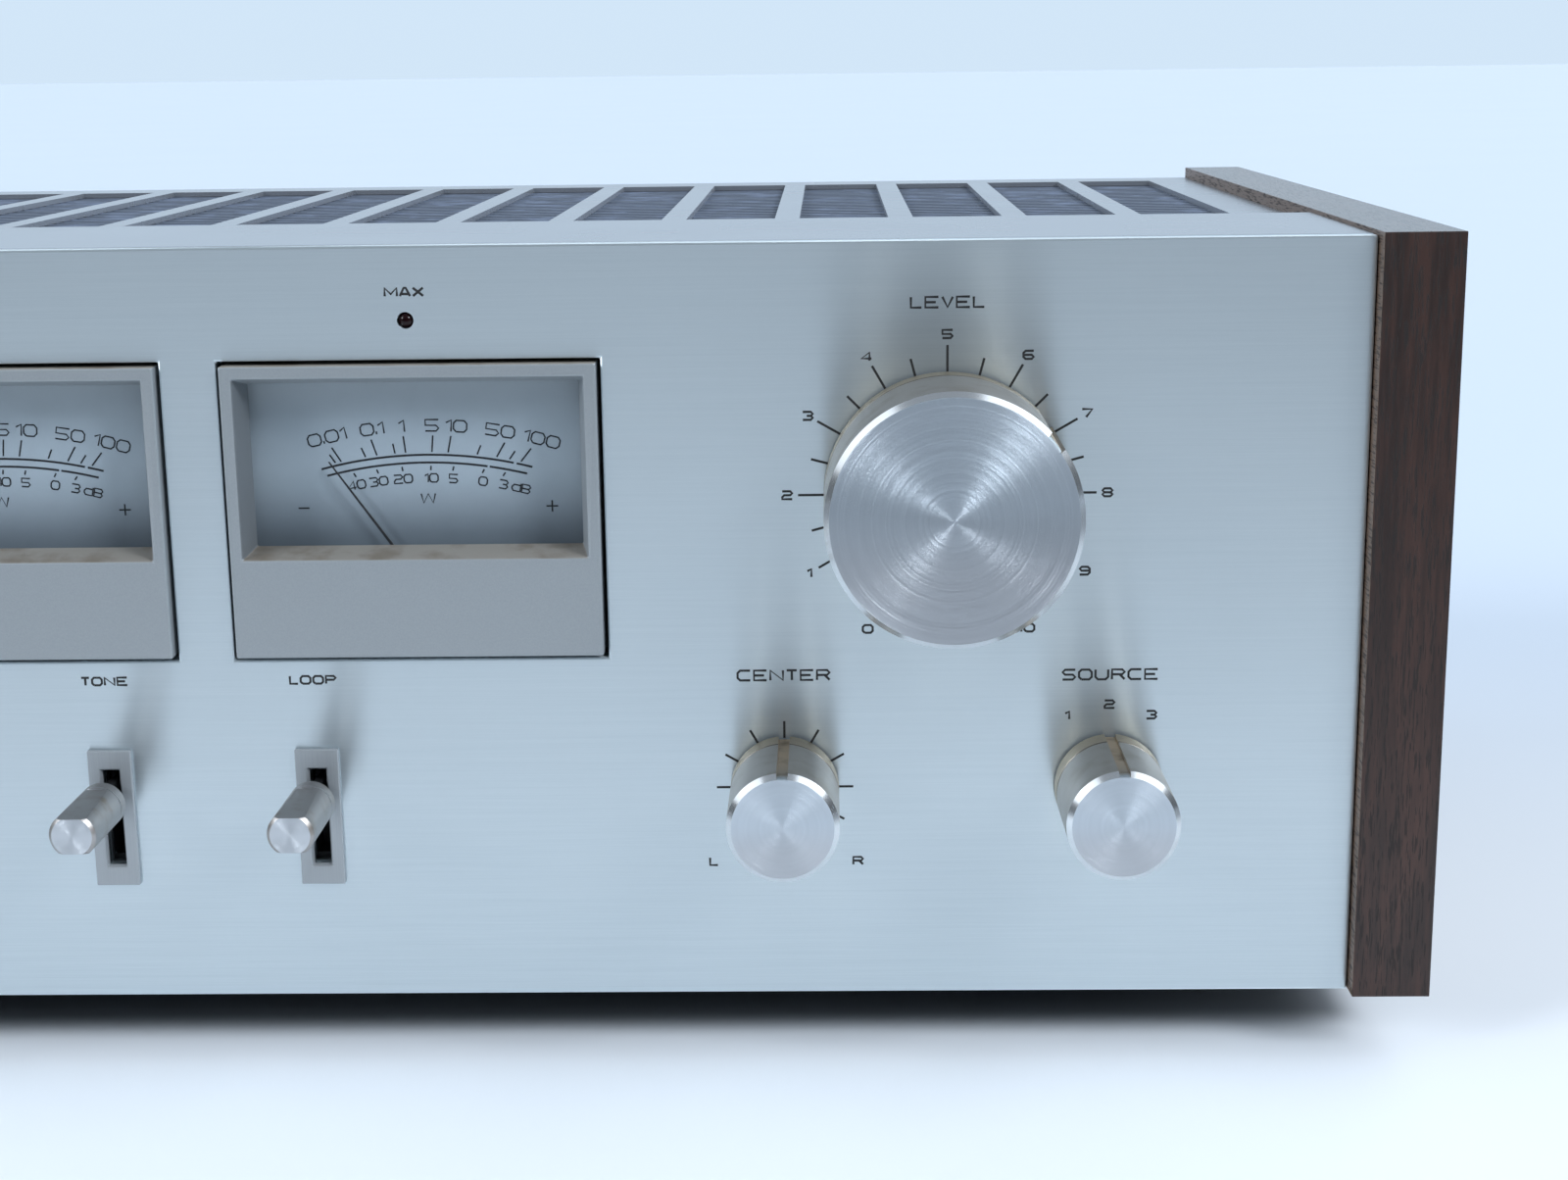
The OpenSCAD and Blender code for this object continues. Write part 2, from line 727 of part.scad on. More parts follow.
module feet() {
    foot_r = foot_d / 2;
    color("#1c1c1e") in_case() at_feet() difference() {
        rotate_extrude() polygon([[0, 0], [foot_r - foot_taper, 0], [foot_r, foot_h], [0, foot_h]]);
        translate([0, 0, -cut]) cylinder(d = screw_head_d + 2 * head_room, h = foot_h - foot_sole + cut);
        screw_hole(foot_h + cut);
    }
}

module case_screws() {
    joint_length = sheet_t * 2 + screw_tail;
    color("#b9bcc0") in_case() {
        at_lip_screws() screw(joint_length);
        at_panel_screws() screw(wall_y - blind_skin - fit_gap);
        at_cover_screws() screw(joint_length);
        at_strip_screws() screw(strip_t + sheet_t + screw_tail);
        at_terminals() screw(strip_t - blind_skin - fit_gap);
        at_feet() translate([0, 0, foot_h - foot_sole]) screw(foot_sole + sheet_t + screw_tail);
        for (c = board_corners)
            translate([c[0], c[1], board_z + board_t]) mirror([0, 0, 1])
                screw(board_t + post_h - post_floor);
        for (s = sides) at_cheek_screws(s) screw(sheet_t + wood_bite - fit_gap);
    }
}

// A tapered opening about a middle, cut by one draft across and one draft upwards
module drafted_cut(x, z, w, h, front, back, inset) {
    half_w = w / 2;
    half_h = h / 2;
    intersection() {
        translate([x, 0, z - half_h]) linear_extrude(height = h)
            polygon([[-half_w, front], [half_w, front], [half_w - inset, back], [-half_w + inset, back]]);
        translate([x, 0, z]) across(w)
            polygon([[front, -half_h], [back, -half_h + inset], [back, half_h - inset], [front, half_h]]);
    }
}

module meter_bezel(x) {
    color("#a7aaac") in_case() difference() {
        block(x, -bezel_proud, bezel_z + bezel_h / 2, bezel_w, window_depth, bezel_h);
        drafted_cut(x, window_z + window_h / 2, window_w, window_h, -bezel_proud, bezel_back_y, window_inset);
    }
}

module meter_bezel_left() {
    meter_bezel(meter_left_x);
}

module meter_bezel_right() {
    meter_bezel(meter_right_x);
}

module meter_window(x) {
    pane_top = bezel_z + bezel_h - meter_wall - fit_gap;
    color("#dfe8ee", 0.35) in_case()
        translate([x - meter_inner_w / 2 + fit_gap, bezel_back_y, window_z])
            cube([meter_inner_w - 2 * fit_gap, pane_t, pane_top - window_z]);
}

module meter_window_left() {
    meter_window(meter_left_x);
}

module meter_window_right() {
    meter_window(meter_right_x);
}

module meter_dial(x) {
    color("#b9c6cf") in_case() difference() {
        block(x, dial_y, bezel_z + bezel_h / 2,
            meter_inner_w - 2 * fit_gap, dial_t, meter_inner_h - 2 * fit_gap);
        bar_y(x, dial_y - cut, pivot_z, 2 * pivot_d, dial_t + 2 * cut);
    }
}

module meter_dial_left() {
    meter_dial(meter_left_x);
}

module meter_dial_right() {
    meter_dial(meter_right_x);
}

module meter_case(x) {
    middle = bezel_z + bezel_h / 2;
    color("#161718") in_case() difference() {
        union() {
            block(x, bezel_back_y, middle, bezel_w, meter_case_depth, bezel_h);
            block(x, wall_y, middle, meter_w + 2 * meter_flange, meter_wall, meter_h + 2 * meter_flange);
        }
        block(x, bezel_back_y - cut, middle,
            meter_inner_w, meter_case_depth - meter_wall + cut, meter_inner_h);
    }
}

module meter_case_left() {
    meter_case(meter_left_x);
}

module meter_case_right() {
    meter_case(meter_right_x);
}

// A needle with its hub and tail, leaning to the left
module meter_needle(x) {
    tail = 6;
    tip_w = needle_w / 3;
    blade_t = hub_t / 3;
    color("#151515") in_case() translate([x, hub_y, pivot_z]) rotate([0, -needle_lean, 0]) difference() {
        union() {
            bar_y(0, 0, 0, hub_d, hub_t);
            translate([0, blade_t, 0]) rotate([90, 0, 0]) linear_extrude(height = blade_t)
                polygon([
                    [-needle_w / 2, -tail], [needle_w / 2, -tail],
                    [tip_w / 2, needle_length], [-tip_w / 2, needle_length]
                ]);
        }
        bar_y(0, -cut, 0, pivot_d + 2 * run_gap, hub_t + 2 * cut);
    }
}

module meter_needle_left() {
    meter_needle(meter_left_x);
}

module meter_needle_right() {
    meter_needle(meter_right_x);
}

module meter_movements() {
    back = meter_back_y - meter_wall;
    color("#6d6a64") in_case() for (x = meter_xs) {
        bar_y(x, movement_y, pivot_z, movement_d, back - movement_y);
        bar_y(x, hub_y, pivot_z, pivot_d, movement_y - hub_y);
    }
}

module peak_lamps() {
    dome_y = 1.2;
    flange_t = 1.2;
    color("#5a0d12") in_case() for (x = meter_xs) {
        bar_y(x, dome_y, lamp_z, lamp_d, wall_y - dome_y);
        bar_y(x, wall_y, lamp_z, lamp_d + 2 * lamp_flange_w, flange_t);
        translate([x, dome_y, lamp_z]) sphere(d = lamp_d);
    }
}

// A shaft's round section with its flat, grown by gap
module shaft_section(gap) {
    difference() {
        circle(d = shaft_d + 2 * gap);
        translate([-shaft_d, shaft_d / 2 - shaft_flat + gap]) square([2 * shaft_d, shaft_d]);
    }
}

// A turned knob with its skirt, ring cut, bright chamfer, pointer groove and bore
module knob(spot, d, reach, turn, groove_w) {
    r = d / 2;
    skirt = knob_gap + skirt_h;
    color("#d4d8db") in_case() facing_front(spot[0], spot[1]) rotate([0, 0, -turn]) difference() {
        rotate_extrude() polygon([
            [0, knob_gap], [r, knob_gap], [r, skirt], [r - ring_cut, skirt],
            [r - ring_cut, skirt + ring_cut], [r, skirt + ring_cut],
            [r, reach - knob_chamfer], [r - knob_chamfer, reach], [0, reach]
        ]);
        linear_extrude(height = reach - knob_face_t) shaft_section(fit_gap);
        translate([-groove_w / 2, r - pointer_depth, 0]) cube([groove_w, r, reach + cut]);
    }
}

// A control shaft that runs from its housing to the end of its knob's bore
module shaft(spot, reach, turn) {
    inner_end = wall_y + shaft_inside;
    color("#b8bcbf") in_case() facing_front(spot[0], spot[1]) rotate([0, 0, -turn]) {
        translate([0, 0, -inner_end]) cylinder(d = shaft_d, h = inner_end + knob_gap / 2);
        linear_extrude(height = reach - knob_face_t) shaft_section(0);
    }
}

module volume_knob() {
    knob([volume_x, upper_z], volume_d, volume_reach, volume_turn, volume_pointer_w);
}

module balance_knob() {
    knob([balance_x, lower_z], knob_d, knob_reach, 0, pointer_w);
}

module function_knob() {
    knob([function_x, lower_z], knob_d, knob_reach, 0, pointer_w);
}

module bass_knob() {
    knob([bass_x, lower_z], knob_d, knob_reach, 0, pointer_w);
}

module treble_knob() {
    knob([treble_x, lower_z], knob_d, knob_reach, 0, pointer_w);
}

module speaker_knob() {
    knob([speaker_x, upper_z], knob_d, knob_reach, 0, pointer_w);
}

module volume_shaft() {
    shaft([volume_x, upper_z], volume_reach, volume_turn);
}

module balance_shaft() {
    shaft([balance_x, lower_z], knob_reach, 0);
}

module function_shaft() {
    shaft([function_x, lower_z], knob_reach, 0);
}

module bass_shaft() {
    shaft([bass_x, lower_z], knob_reach, 0);
}

module treble_shaft() {
    shaft([treble_x, lower_z], knob_reach, 0);
}

module speaker_shaft() {
    shaft([speaker_x, upper_z], knob_reach, 0);
}

// The fixed body of a potentiometer or rotary switch with its bush
module control_body(spot, d) {
    bush_y = panel_t - bush_reach;
    bore_end = wall_y + shaft_inside + slide_gap;
    difference() {
        union() {
            bar_y(spot[0], wall_y, spot[1], d, control_depth);
            bar_y(spot[0], bush_y, spot[1], bush_d, wall_y - bush_y);
        }
        bar_y(spot[0], bush_y - cut, spot[1], shaft_d + 2 * run_gap, bore_end - bush_y + cut);
    }
}

module volume_pot() {
    color("#7d8082") in_case() control_body([volume_x, upper_z], volume_pot_d);
}

module tone_pots() {
    color("#7d8082") in_case() for (c = tone_spots) control_body(c, tone_pot_d);
}

module rotary_switches() {
    color("#8a7a58") in_case() for (c = rotary_spots) control_body(c, rotary_d);
}

module control_nuts() {
    color("#c2b58a") in_case() {
        for (c = control_spots) difference() {
            facing_front(c[0], c[1]) translate([0, 0, -panel_t]) cylinder(d = nut_d, h = nut_t, $fn = 6);
            bar_y(c[0], -cut, c[1], bush_d + 2 * fit_gap, panel_t + 2 * cut);
        }
        difference() {
            bar_y(jack_x, -ring_nut_t, jack_z, ring_nut_d, ring_nut_t);
            bar_y(jack_x, -ring_nut_t - cut, jack_z, jack_bush_d + 2 * fit_gap, ring_nut_t + 2 * cut);
        }
    }
}

// A turned lever cap: a collar, a thin ring, two flats that deepen towards the end, and a blade socket
module lever(spot) {
    r = lever_d / 2;
    tip = lever_off + lever_length;
    neck = lever_off + lever_collar;
    shoulder = neck + lever_ring;
    color("#ccd0d3") in_case() facing_front(spot[0], spot[1] + lever_up) difference() {
        rotate_extrude() polygon([
            [0, lever_off], [r, lever_off], [r, neck], [r - lever_ring, neck], [r - lever_ring, shoulder],
            [r, shoulder], [r, tip - lever_chamfer], [r - lever_chamfer, tip], [0, tip]
        ]);
        for (s = [0, 1]) mirror([0, s, 0]) across(2 * lever_d)
            polygon([
                [lever_neck_flats / 2, shoulder], [r + cut, shoulder],
                [r + cut, tip + cut], [lever_flats / 2, tip + cut]
            ]);
        translate([-blade_w / 2 - fit_gap, -blade_h / 2 - fit_gap, 0])
            cube([blade_w + 2 * fit_gap, blade_h + 2 * fit_gap, lever_off + blade_grip]);
    }
}

// A slider: the blade that carries a lever cap and the shoe inside the switch
module slider(spot) {
    shoe_y = wall_y + slide_gap;
    blade_y = -lever_off - blade_grip;
    color("#2c2d2f") in_case() {
        block(spot[0], blade_y, spot[1] + lever_up, blade_w, shoe_y - blade_y, blade_h);
        block(spot[0], shoe_y, spot[1] + lever_up, shoe_w, shoe_depth, shoe_h);
    }
}

module power_lever() {
    lever(power_spot);
}

module loudness_lever() {
    lever(loudness_spot);
}

module tape_lever() {
    lever(tape_spot);
}

module power_slider() {
    slider(power_spot);
}

module loudness_slider() {
    slider(loudness_spot);
}

module tape_slider() {
    slider(tape_spot);
}

module slide_switches() {
    color("#2a2b2d") in_case() for (c = lever_spots) difference() {
        block(c[0], wall_y, c[1],
            cavity_w + 2 * switch_wall, cavity_d + switch_wall, cavity_h + 2 * switch_wall);
        block(c[0], wall_y - cut, c[1], cavity_w, cavity_d + cut, cavity_h);
    }
}

module lever_plates() {
    color("#9ea1a2") in_case() for (c = lever_spots) difference() {
        block(c[0], -plate_t, c[1], plate_w, plate_t, plate_h);
        drafted_cut(c[0], c[1], lever_slot_w, lever_slot_h, -plate_t, 0, slot_inset);
    }
}

module phones_jack() {
    mouth = -ring_nut_t;
    color("#222326") in_case() difference() {
        union() {
            bar_y(jack_x, mouth, jack_z, jack_bush_d, wall_y - mouth);
            block(jack_x, wall_y, jack_z, jack_body_w, jack_body_l, jack_body_w);
        }
        bar_y(jack_x, mouth - cut, jack_z, jack_bore_d, jack_body_l + cut);
    }
}

module transformer_core() {
    window_wide = (core_w - 4 * core_leg) / 2;
    window_high = core_h - 2 * core_leg;
    front = core_y - core_stack / 2;
    middle = floor_z + core_h / 2;
    color("#4b4d50") in_case() difference() {
        block(core_x, front, middle, core_w, core_stack, core_h);
        for (s = sides)
            block(core_x + s * (core_leg + window_wide / 2), front - cut, middle,
                window_wide, core_stack + 2 * cut, window_high);
    }
}

module transformer_coil() {
    coil_w = core_w - 2 * core_leg - 2 * core_gap;
    coil_h = core_h - 2 * core_leg - 2 * core_gap;
    coil_d = core_stack + 2 * coil_reach;
    core_middle = floor_z + core_h / 2;
    color("#b8742f") in_case() difference() {
        block(core_x, core_y - coil_d / 2, core_middle, coil_w, coil_d, coil_h);
        block(core_x, core_y - core_stack / 2 - core_gap, core_middle,
            2 * core_leg + 2 * core_gap, core_stack + 2 * core_gap, core_h);
    }
}

module filter_capacitors() {
    color("#27364a") in_case() for (s = sides)
        bar_z(cap_shift + s * cap_pitch / 2, cap_y, floor_z, cap_d, cap_h);
}

module heat_sink() {
    pitch = (sink_w - fin_t) / (fin_count - 1);
    color("#2b2d2f") in_case() {
        translate([sink_x, sink_y, floor_z]) cube([sink_w, sink_base, sink_h]);
        for (i = [0 : fin_count - 1])
            translate([sink_x + i * pitch, sink_y, floor_z])
                cube([fin_t, sink_base + fin_reach, sink_h]);
    }
}

module output_transistors() {
    pitch = sink_w / transistor_count;
    color("#1a1a1c") in_case() for (i = [0 : transistor_count - 1])
        block(sink_x + (i + 0.5) * pitch, sink_y - transistor_t,
            floor_z + transistor_rise + transistor_h / 2, transistor_w, transistor_t, transistor_h);
}

// A circuit board with screw holes over its posts
module board(x, y, w, d) {
    difference() {
        translate([x, y, board_z]) cube([w, d, board_t]);
        for (c = board_spots(x, y, w, d))
            translate([c[0], c[1], board_z - cut]) screw_hole(board_t + 2 * cut);
    }
}

module amplifier_board() {
    color("#8a6b3a") in_case() board(sink_x, amp_board_y, sink_w, amp_board_d);
}

module control_board() {
    color("#8a6b3a") in_case() board(control_board_x, control_board_y, control_board_w, control_board_d);
}

module board_posts() {
    color("#b8a76a") in_case() for (c = board_corners) difference() {
        bar_z(c[0], c[1], floor_z, post_d, post_h);
        translate([c[0], c[1], floor_z + post_floor - fit_gap]) screw_hole(post_h);
    }
}

// Places of the input jacks, two rows
module at_input_jacks() {
    for (i = [0 : input_count - 1], row = [0, 1])
        translate([input_x + i * input_pitch, 0, input_z + row * input_pitch]) children();
}

module input_jacks() {
    stub = 8;
    color("#cfc9b4") in_case() at_input_jacks() difference() {
        union() {
            bar_y(0, rear_y - stub, 0, input_stub_d, stub);
            bar_y(0, rear_y, 0, input_flange_d, input_flange_t);
            bar_y(0, rear_y, 0, input_d, input_reach);
        }
        bar_y(0, rear_y + input_flange_t, 0, pin_hole_d, input_reach);
    }
}

module speaker_terminals() {
    barrier_w = 1.6;
    color("#1d1e20") in_case() difference() {
        union() {
            translate([strip_x, rear_y, strip_z]) cube([strip_w, strip_t, strip_h]);
            for (i = [1 : terminal_count + 1])
                block(strip_x + i * terminal_pitch, rear_y, terminal_z, barrier_w, strip_reach, strip_h);
        }
        at_terminals() screw_hole(strip_t - blind_skin);
        at_strip_screws() screw_hole(strip_t + cut);
    }
}

module cord_gland() {
    collar_d = gland_d + 2 * gland_collar_w;
    collar_t = 3;
    stub = 6;
    color("#18191b") in_case() difference() {
        union() {
            bar_y(gland_x, rear_y - stub, gland_z, gland_d, stub);
            bar_y(gland_x, rear_y, gland_z, collar_d, collar_t);
        }
        bar_y(gland_x, rear_y - stub - cut, gland_z, gland_bore_d, stub + collar_t + 2 * cut);
    }
}

front_panel();
sub_panel();
bottom_plate();
side_plate_left();
side_plate_right();
rear_panel();
top_cover();
wood_side_left();
wood_side_right();
feet();
case_screws();
vent_screen();
meter_bezel_left();
meter_bezel_right();
meter_window_left();
meter_window_right();
meter_dial_left();
meter_dial_right();
meter_case_left();
meter_case_right();
meter_needle_left();
meter_needle_right();
meter_movements();
peak_lamps();
volume_knob();
balance_knob();
function_knob();
bass_knob();
treble_knob();
speaker_knob();
volume_shaft();
balance_shaft();
function_shaft();
bass_shaft();
treble_shaft();
speaker_shaft();
volume_pot();
tone_pots();
rotary_switches();
control_nuts();
power_lever();
loudness_lever();
tape_lever();
power_slider();
loudness_slider();
tape_slider();
slide_switches();
lever_plates();
phones_jack();
transformer_core();
transformer_coil();
filter_capacitors();
heat_sink();
output_transistors();
amplifier_board();
control_board();
board_posts();
input_jacks();
speaker_terminals();
cord_gland();
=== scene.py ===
import json
import math

import bmesh
import bpy
from mathutils import Matrix, Vector


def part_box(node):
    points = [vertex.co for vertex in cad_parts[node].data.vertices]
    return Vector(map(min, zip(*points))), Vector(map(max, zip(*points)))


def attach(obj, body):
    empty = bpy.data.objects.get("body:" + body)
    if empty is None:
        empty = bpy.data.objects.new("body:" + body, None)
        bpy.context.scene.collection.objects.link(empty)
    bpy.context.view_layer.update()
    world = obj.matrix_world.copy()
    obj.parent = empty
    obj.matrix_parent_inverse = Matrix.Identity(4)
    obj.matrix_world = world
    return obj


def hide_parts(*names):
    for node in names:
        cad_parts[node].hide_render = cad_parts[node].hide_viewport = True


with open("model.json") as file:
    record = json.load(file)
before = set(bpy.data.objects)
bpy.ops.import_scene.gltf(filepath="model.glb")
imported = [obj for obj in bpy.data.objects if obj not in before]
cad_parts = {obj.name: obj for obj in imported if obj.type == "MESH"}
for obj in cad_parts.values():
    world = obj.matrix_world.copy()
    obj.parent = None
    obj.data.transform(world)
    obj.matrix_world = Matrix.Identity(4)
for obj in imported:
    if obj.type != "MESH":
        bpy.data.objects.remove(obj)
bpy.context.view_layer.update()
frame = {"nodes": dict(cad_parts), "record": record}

# The camera: held half a metre in front of the panel, right of its middle and a little above it,
# so that the right two thirds of the amplifier fill the picture.
camera_spot = Vector((0.10227, -0.50992, 0.18057))
camera_back = Vector((0.020516, -0.974698, 0.222584))
camera_up = Vector((0.008521, 0.222793, 0.974829))
camera_data = bpy.data.cameras.new("camera")
camera_data.sensor_fit = "HORIZONTAL"
camera_data.sensor_width = 36.0
camera_data.lens = 54.046
camera_data.clip_start = 0.01
camera = bpy.data.objects.new("camera", camera_data)
camera_turn = Matrix((camera_up.cross(camera_back), camera_up, camera_back)).transposed()
camera.matrix_world = Matrix.Translation(camera_spot) @ camera_turn.to_4x4()
bpy.context.collection.objects.link(camera)
bpy.context.scene.camera = camera


# The studio: a pale painted floor, with a painted pool of light round the amplifier and painted shade that
# greys it further away and darkens it under the amplifier, before a bluish backdrop. Windows on either
# side, two in front and one behind light it, and a glowing card on the floor in front sends some light up.
# None of it belongs to the amplifier.
class Wire:
    """One output of a shader node, which takes part in sums as a number does."""

    def __init__(self, finish, socket):
        self.finish = finish
        self.socket = socket

    def sum(self, operation, first, second):
        return self.finish.node("ShaderNodeMath", {"operation": operation}, {0: first, 1: second})

    def __add__(self, other):
        return self.sum("ADD", self, other)

    def __radd__(self, other):
        return self.sum("ADD", other, self)

    def __sub__(self, other):
        return self.sum("SUBTRACT", self, other)

    def __rsub__(self, other):
        return self.sum("SUBTRACT", other, self)

    def __mul__(self, other):
        return self.sum("MULTIPLY", self, other)

    def __rmul__(self, other):
        return self.sum("MULTIPLY", other, self)

    def __truediv__(self, other):
        return self.sum("DIVIDE", self, other)


class Finish:
    """A material whose nodes are added as its recipe is written down."""

    def __init__(self, name, shelf=bpy.data.materials):
        self.made = shelf.new(name)
        self.made.use_nodes = True
        self.tree = self.made.node_tree
        self.tree.nodes.clear()

    def node(self, kind, settings=None, inputs=None, output=0):
        made = self.tree.nodes.new(kind)
        for name, value in (settings or {}).items():
            setattr(made, name, value)
        for name, value in (inputs or {}).items():
            if isinstance(value, Wire):
                self.tree.links.new(value.socket, made.inputs[name])
            else:
                made.inputs[name].default_value = value
        return Wire(self, made.outputs[output]) if made.outputs else None

    def place(self):
        return self.node("ShaderNodeTexCoord", output="Object")

    def facing(self):
        return self.node("ShaderNodeNewGeometry", output="Normal")

    def part(self, vector, axis):
        return self.node("ShaderNodeSeparateXYZ", None, {0: vector}, axis)

    def vector(self, operation, first, second):
        return self.node("ShaderNodeVectorMath", {"operation": operation}, {0: first, 1: second})

    def scaled(self, vector, amount):
        return self.node("ShaderNodeVectorMath", {"operation": "SCALE"}, {0: vector, "Scale": amount})

    def unit(self, vector):
        return self.node("ShaderNodeVectorMath", {"operation": "NORMALIZE"}, {0: vector})

    def length(self, vector):
        return self.node("ShaderNodeVectorMath", {"operation": "LENGTH"}, {0: vector}, "Value")

    def size(self, value):
        return self.node("ShaderNodeMath", {"operation": "ABSOLUTE"}, {0: value})

    def noise(self, vector, scale, detail):
        return self.node("ShaderNodeTexNoise", None, {"Vector": vector, "Scale": scale, "Detail": detail})

    def streaks(self, scales, detail):
        return self.noise(self.vector("MULTIPLY", self.place(), scales), 1.0, detail)

    def step(self, value, low, high):
        settings = {"interpolation_type": "SMOOTHSTEP"}
        return self.node("ShaderNodeMapRange", settings, {0: value, 1: low, 2: high})

    def mix(self, share, first, second):
        return self.node("ShaderNodeMix", {"data_type": "RGBA"}, {0: share, 6: first, 7: second}, 2)

    def bump(self, height, depth, strength):
        inputs = {"Height": height, "Distance": depth, "Strength": strength}
        return self.node("ShaderNodeBump", None, inputs)

    def coat(self, inputs):
        surface = self.node("ShaderNodeBsdfPrincipled", None, inputs)
        self.node("ShaderNodeOutputMaterial", None, {"Surface": surface})
        return self.made


def tint(code):
    """A colour code of six hexadecimal digits as the linear colour that a shader takes."""
    parts = [int(code[i:i + 2], 16) / 255 for i in (0, 2, 4)]
    linear = [p / 12.92 if p <= 0.04045 else ((p + 0.055) / 1.055) ** 2.4 for p in parts]
    return (*linear, 1.0)


# Where one tone of the floor passes into the next, in metres: out from the middle for the pale pool of
# painted light, front to back for the backdrop's tone, and front, back and side of the painted shade under
# the amplifier.
painted_light_pool_edge = (0.29, 0.60)
backdrop_edge = (-0.08, 0.25)
shade_front = (-0.094, -0.084)
shade_back = (0.0, 0.1)
shade_side = (0.196, 0.204)


def floor_paint():
    f = Finish("floor_paint")
    speckle = f.noise(f.place(), 900.0, 3.0)
    cloud = f.noise(f.place(), 3.0, 2.0)
    depth = f.part(f.place(), "Y")
    pale = f.mix(cloud, tint("dce3e9"), tint("e2e8ee"))
    distance = f.length(f.vector("MULTIPLY", f.place(), (1.0, 0.9, 0.0)))
    # The pale pool round the amplifier is painted light, and the grey floor beyond it is painted shade.
    painted_light_pool = f.mix(f.step(distance, *painted_light_pool_edge), pale, tint("666c72"))
    open_floor = f.mix(f.step(depth, *backdrop_edge), painted_light_pool, tint("c3d0de"))
    across = f.size(f.part(f.place(), "X"))
    # The darker patch of floor under the amplifier is painted shade.
    within = f.step(depth, *shade_front) * (1.0 - f.step(depth, *shade_back))
    painted_shade_under = within * (1.0 - f.step(across, *shade_side))
    return f.coat({
        "Base Color": f.mix(painted_shade_under, open_floor, tint("868c92")),
        "Roughness": 0.5 + 0.1 * cloud,
        "Normal": f.bump(speckle, 0.0001, 0.1),
    })


floor_half = 20.0
floor_mesh = bmesh.new()
bmesh.ops.create_grid(floor_mesh, x_segments=8, y_segments=8, size=floor_half)
floor_data = bpy.data.meshes.new("floor")
floor_mesh.to_mesh(floor_data)
floor_mesh.free()
floor_data.materials.append(floor_paint())
floor = bpy.data.objects.new("floor", floor_data)
bpy.context.collection.objects.link(floor)

room_glow = 0.135
wall_glow = 0.85
ceiling_glow = 0.31


def room_light():
    f = Finish("room_light", bpy.data.worlds)
    way = f.node("ShaderNodeTexCoord", output="Generated")
    behind = f.step(f.part(way, "Y"), 0.0, 0.6) * (1.0 - f.step(f.part(way, "Z"), 0.3, 0.7))
    above = f.step(f.part(way, "Z"), 0.15, 0.7)
    strength = room_glow + wall_glow * behind + ceiling_glow * above
    colour = f.mix(behind, tint("e4eefa"), tint("d4e8fa"))
    glow = f.node("ShaderNodeBackground", None, {"Color": colour, "Strength": strength})
    f.node("ShaderNodeOutputWorld", None, {"Surface": glow})
    return f.made


bpy.context.scene.world = room_light()

# Each window: its name, the way towards it, its width in degrees and its strength.
WINDOWS = (
    ("window_right", (0.65, -0.15, 0.74), 46.0, 0.7),
    ("window_left", (-0.78, -0.17, 0.60), 46.0, 0.6),
    ("front_right", (0.677, -0.489, 0.55), 20.0, 2.05),
    ("front_left", (-0.764, -0.49, 0.42), 20.0, 1.45),
    ("window_behind", (0.70, 0.42, 0.58), 60.0, 1.1),
)
daylight = tint("f3f8ff")[:3]
for name, way, spread, strength in WINDOWS:
    data = bpy.data.lights.new(name, "SUN")
    data.angle = math.radians(spread)
    data.energy = strength
    data.color = daylight
    lamp = bpy.data.objects.new(name, data)
    lamp.matrix_world = (-Vector(way)).to_track_quat("-Z", "Y").to_matrix().to_4x4()
    bpy.context.collection.objects.link(lamp)

card_spot = Vector((-0.10, -0.25, 0.004))
card_data = bpy.data.lights.new("floor_card", "AREA")
card_data.shape = "RECTANGLE"
card_data.size = 0.78
card_data.size_y = 0.21
card_data.energy = 0.12
card_data.color = daylight
card = bpy.data.objects.new("floor_card", card_data)
card.matrix_world = Matrix.Translation(card_spot) @ Matrix.Rotation(math.pi, 4, "X")
bpy.context.collection.objects.link(card)
bpy.context.scene.view_settings.view_transform = "Standard"


# The chassis: folded sheets of zinc plated steel, screwed together through their lips. The sub-panel
# carries the controls, the side plates carry the cheeks and the bottom plate carries the rest.
weld = 1e-6
flat_angle = math.radians(0.5)
sharp_angle = math.radians(25)
smooth_angle = math.radians(14)
flat_area = 0.0001
record = frame["record"]
body_of = {node: body for body, nodes in record["behaviour"]["bodies"].items() for node in nodes}


def solid_copy(node):
    """A node's solid as one closed mesh, with its loose triangles joined and its flat faces whole."""
    bm = bmesh.new()
    bm.from_mesh(frame["nodes"][node].data)
    bmesh.ops.remove_doubles(bm, verts=bm.verts, dist=weld)
    bmesh.ops.dissolve_limit(bm, angle_limit=flat_angle, verts=bm.verts, edges=bm.edges)
    return bm


def soften(bm, width, segments=2, shortest=0.0):
    """Breaks the sharp edges of a mesh with a narrow round, but for those shorter than a length."""
    long_ones = [e for e in bm.edges if e.is_manifold and e.calc_length() > shortest]
    edges = [e for e in long_ones if e.calc_face_angle() > sharp_angle]
    bmesh.ops.bevel(
        bm, geom=edges, offset=width, affect="EDGES", segments=segments,
        profile=0.5, material=-1, clamp_overlap=True,
    )


def make_piece(name, bm, smooth=smooth_angle):
    """An object made of a mesh, with its rounds shaded smooth and its large flat faces flat."""
    mesh = bpy.data.meshes.new(name)
    bm.to_mesh(mesh)
    bm.free()
    mesh.set_sharp_from_angle(angle=smooth)
    mesh.polygons.foreach_set("use_smooth", [face.area < flat_area for face in mesh.polygons])
    piece = bpy.data.objects.new(name, mesh)
    bpy.context.collection.objects.link(piece)
    return piece


def fit(piece, material, *nodes):
    """Gives a piece its finish and puts it in the place of its nodes, on their body."""
    piece.data.materials.append(material)
    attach(piece, body_of[nodes[0]])
    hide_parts(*nodes)


